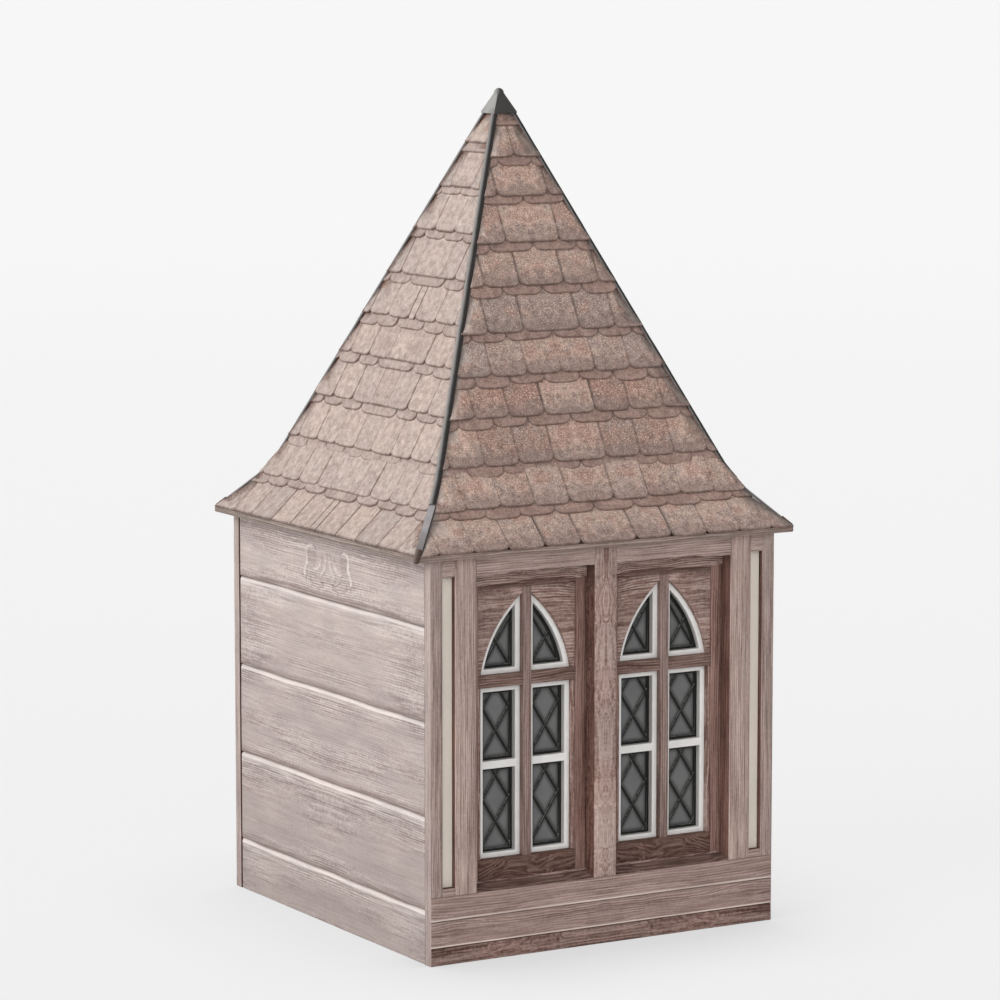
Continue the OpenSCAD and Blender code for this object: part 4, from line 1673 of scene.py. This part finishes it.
def trim_to_hips(piece, both):
    """Cuts a shingle off beside one hip or both, which stand over the diagonals of the plan. A shingle that
    lies wholly beyond the hip is removed, and None stands for it."""
    clear = hip_clear * math.sqrt(2)
    for sign in (1, -1) if both else (1,):
        reach = max(sign * corner.co.x + corner.co.y for corner in piece.data.vertices)
        if reach > -clear:
            cut_planes(piece, [((-sign * clear, 0, 0), (sign, 1, 0))], clear_outer=True, use_fill=True)
    if piece.data.vertices:
        return piece
    bpy.data.objects.remove(piece)
    return None


def joints_to_hip(joints, foot):
    """The joints of a row on one half of a side, carried on at the usual width to beyond the hip."""
    joints = list(joints)
    while joints[-1] < roof_point(foot).x:
        joints.append(joints[-1] + usual_w)
    return joints


def make_under():
    """The shingle of the under layer: its foot bellies more, and its joints close up."""
    made = copy_piece(shingle, "under_shingle")
    for corner in made.data.vertices:
        across = min(1, abs(corner.co.x) / (shingle_w / 2))
        corner.co.y += under_belly * across * across * max(0, 1 - corner.co.y / foot_reach)
        corner.co.x *= under_spread
    return made


under_shingle = make_under()


def lay_row(rows, joints, tones, *place, model, wobble):
    """Lays one row on one half of a side. A shingle that stands over the middle is kept apart."""
    middles, halves = rows
    if joints[0] > 0:
        middles.append(lay(model, -joints[0], joints[0], *place, tones[0], 0))
        tones = tones[1:]
    for start, end, tone in zip(joints, joints[1:], tones):
        halves.append(lay(model, start, end, *place, tone, wobble))


def lay_side(courses, name, eave_model):
    """All the courses of one side, from the tip down. eave_model is the shingle of the lowest course."""
    rows = ([], [])
    head = first_head
    eave = courses[-1][0] * mm
    for foot, marks, tones in courses:
        foot *= mm
        joints = joints_to_hip([mark * mm for mark in marks], foot)
        if tones:
            top = max(head - lap, highest_head)
            tones = tones + [tones[-1]] * len(joints)
            model = eave_model if foot == eave else shingle
            wobble = 1 if model is shingle else eave_wobble
            lay_row(rows, joints, tones, foot, top, 0, head_sink, model=model, wobble=wobble)
        if foot != eave:
            show = foot + under_show
            between_joints = [(a + b) / 2 for a, b in zip(joints, joints[1:])]
            if joints[0] > middle_from or not between_joints:
                between_joints = [0.0] + between_joints
            between_joints = joints_to_hip(between_joints, show)
            tones = [under_tone] * len(between_joints)
            place = (show, foot - under_lap, under_lift, under_sink)
            lay_row(rows, between_joints, tones, *place, model=under_shingle, wobble=under_wobble)
        head = foot
    middles, halves = rows
    halves = [piece for piece in halves if trim_to_hips(piece, False)]
    middles = [piece for piece in middles if trim_to_hips(piece, True)]
    half = join(halves, "half")
    other = copy_piece(half, "other", MIRROR)
    return join([half, other] + middles, name)


roof_cover = {"front": lay_side(front_courses, "front_shingles", shingle)}
roof_cover["back"] = copy_piece(roof_cover["front"], "back_shingles", BACK)
roof_cover["left"] = lay_side(side_courses, "left_shingles", eave_shingle)
roof_cover["left"].data.transform(Matrix.Rotation(-math.pi / 2, 4, "Z"))
roof_cover["right"] = copy_piece(roof_cover["left"], "right_shingles", BACK)
for side, piece in roof_cover.items():
    finish_piece(piece, shingle_finish, "shingles", "slope_" + side, "flare_" + side)
for model in (shingle, eave_shingle, under_shingle):
    bpy.data.objects.remove(model)
print("shingles:", [len(piece.data.polygons) for piece in roof_cover.values()], "faces a side")

# %% [markdown]
# ## Lead on the hips and the tip
# A round lead roll covers each hip from the cap to the kick. Below the kick the lead is a flat strip with
# both edges rolled, which ends in a short rolled nub at the corner of the eave. The roll, the strip and the
# nub of the front left hip are stout. A slimmer set is made too, and turned and mirrored copies of it cover
# the other three hips. The cap is a copy of its solid with rounded arrises and a round tip.

# %% Hip rolls, strips and cap
roll_aside = 3.5 * mm
roll_foot = 1642 * mm
flat_bottom = -16 * mm
flat_top = 2 * mm
rim_d = 6 * mm
rim_sink = 3 * mm
nub_l = 48 * mm
nub_sink = 2 * mm
stout = {
    "roll": (25 * mm, 28 * mm),
    "proud": 5 * mm,
    "foot": 11 * mm,
    "flat": 24 * mm,
    "lift": 4 * mm,
    "nub": 25 * mm,
    "reach": 12 * mm,
}
slim = {
    "roll": (15 * mm, 15 * mm),
    "proud": 3 * mm,
    "foot": 2 * mm,
    "flat": 10 * mm,
    "lift": -2 * mm,
    "nub": 14 * mm,
    "reach": -9 * mm,
}
roll_top = 95 * mm
kick_clear = 60 * mm
strip_start = 12 * mm
strip_end = 8 * mm
cap_proud = (1.5 * mm, 0.3 * mm)
cap_tip_w = 20 * mm
cap_dome_d = 39 * mm


def along_hip(distance, out=0.0, aside=0.0):
    """A point over the front left hip. out is the height over the corner line of the roof's surface, and
    aside is the distance from that line towards the left slope."""
    place = roof_point(distance)
    normal = roof_normal(distance)
    lift = Vector((-normal.x, -normal.x, normal.y)).normalized() * out
    return Vector((-place.x, -place.x, place.y)) + lift + Vector((-1, 1, 0)).normalized() * aside


def rod(name, start, end, first_d, last_d, sides=16):
    """A round rod between two points, whose diameter may change on the way."""
    line = end - start
    bpy.ops.object.select_all(action="DESELECT")
    bpy.ops.mesh.primitive_cone_add(
        vertices=sides,
        radius1=first_d / 2,
        radius2=last_d / 2,
        depth=line.length,
        location=(start + end) / 2,
        rotation=line.to_track_quat("Z", "Y").to_euler(),
    )
    made = bpy.context.object
    made.name = name
    return settle(made)


def ball(name, place, diameter):
    bpy.ops.object.select_all(action="DESELECT")
    bpy.ops.mesh.primitive_uv_sphere_add(segments=16, ring_count=10, radius=diameter / 2, location=place)
    made = bpy.context.object
    made.name = name
    return settle(made)


def cut_along(piece, start, end, count):
    """Cuts a rod into short lengths, so that wear can bend it a little."""
    cut_planes(piece, [(start.lerp(end, i / count), end - start) for i in range(1, count)])


def make_hip(sizes):
    """The lead of the front left hip. sizes holds the roll's diameters at the cap and at the kick, how proud
    of the hip it stands and the lift of its foot, the flat strip's width and lift, and the nub's diameter and
    its reach past the corner of the eave."""
    roll_d = sizes["roll"]
    flat_w = sizes["flat"]
    nub_d = sizes["nub"]
    lift = sizes["lift"]
    sink = sizes["proud"] - roll_d[1] / 2
    top = along_hip(roll_top, sizes["proud"] - roll_d[0] / 2, roll_aside)
    kick = along_hip(upper_l - kick_clear, sink, roll_aside)
    foot = along_hip(roll_foot, sink + sizes["foot"], roll_aside)
    start = along_hip(upper_l + strip_start, lift, roll_aside)
    end = along_hip(upper_l + lower_l - strip_end, min(0, lift), roll_aside)
    nub_end = along_hip(upper_l + lower_l + sizes["reach"], -nub_sink, roll_aside)
    roll = rod("roll", top, kick, roll_d[0], roll_d[1])
    cut_along(roll, top, kick, 40)
    wear(roll, 2.2 * mm, 0.06)
    lead = [roll, ball("knee", kick, roll_d[1]), rod("lower", kick, foot, roll_d[1], roll_d[1])]
    flat = block("flat", (-flat_w / 2, flat_bottom, 0), (flat_w / 2, flat_top, (end - start).length))
    line = (end - start).normalized()
    level = Vector((1, -1, 0)).normalized()
    outward = line.cross(level)
    axes = Matrix((level, outward, line)).transposed().to_4x4()
    flat.data.transform(Matrix.Translation(start) @ axes)
    for sign in (-1, 1):
        shift = level * sign * flat_w / 2 - outward * rim_sink
        edge = rod("edge", start + shift, end + shift, rim_d, rim_d, 10)
        cut_along(edge, start + shift, end + shift, 8)
        lead.append(edge)
    nub = [rod("nub", nub_end - line * nub_l, nub_end, nub_d, nub_d), ball("nub_end", nub_end, nub_d)]
    for pieces, finish in ((lead, lead_finish), ([flat], strip_lead), (nub, nub_lead)):
        for piece in pieces:
            piece.data.materials.append(finish)
    return join(lead + [flat] + nub, "hip_leads")


slim_hip = make_hip(slim)
placings = (MIRROR, Matrix.Rotation(-math.pi / 2, 4, "Z"), Matrix.Rotation(math.pi / 2, 4, "Z") @ MIRROR)
hips = [make_hip(stout)] + [copy_piece(slim_hip, "hip", placing) for placing in placings]
bpy.data.objects.remove(slim_hip)
hips = join(hips, "hip_leads")
smooth(hips, 50)
finish_piece(hips, lead_finish, "lead", "hip_rolls")
print("hips:", len(hips.data.polygons), "faces")

cap = from_node("cap", "tip_cap")
cap_top = max(corner.co.z for corner in cap.data.vertices)
for corner in cap.data.vertices:
    if abs(corner.co.x) > mm:
        proud = cap_proud[0] if abs(corner.co.x) < cap_tip_w else cap_proud[1]
        corner.co.x += math.copysign(proud, corner.co.x)
        corner.co.y += math.copysign(proud, corner.co.y)
soften(cap, 6.5 * mm, 4, lambda edge: is_arris(edge, 0.35))
dome = ball("dome", Vector((0, 0, cap_top + mm - cap_dome_d / 2)), cap_dome_d)
cap = join([cap, dome], "tip_cap")
wear(cap, 2.0 * mm, 0.03)
smooth(cap, 60)
finish_piece(cap, cap_finish, "lead", "cap")
print("cap:", len(cap.data.polygons), "faces")
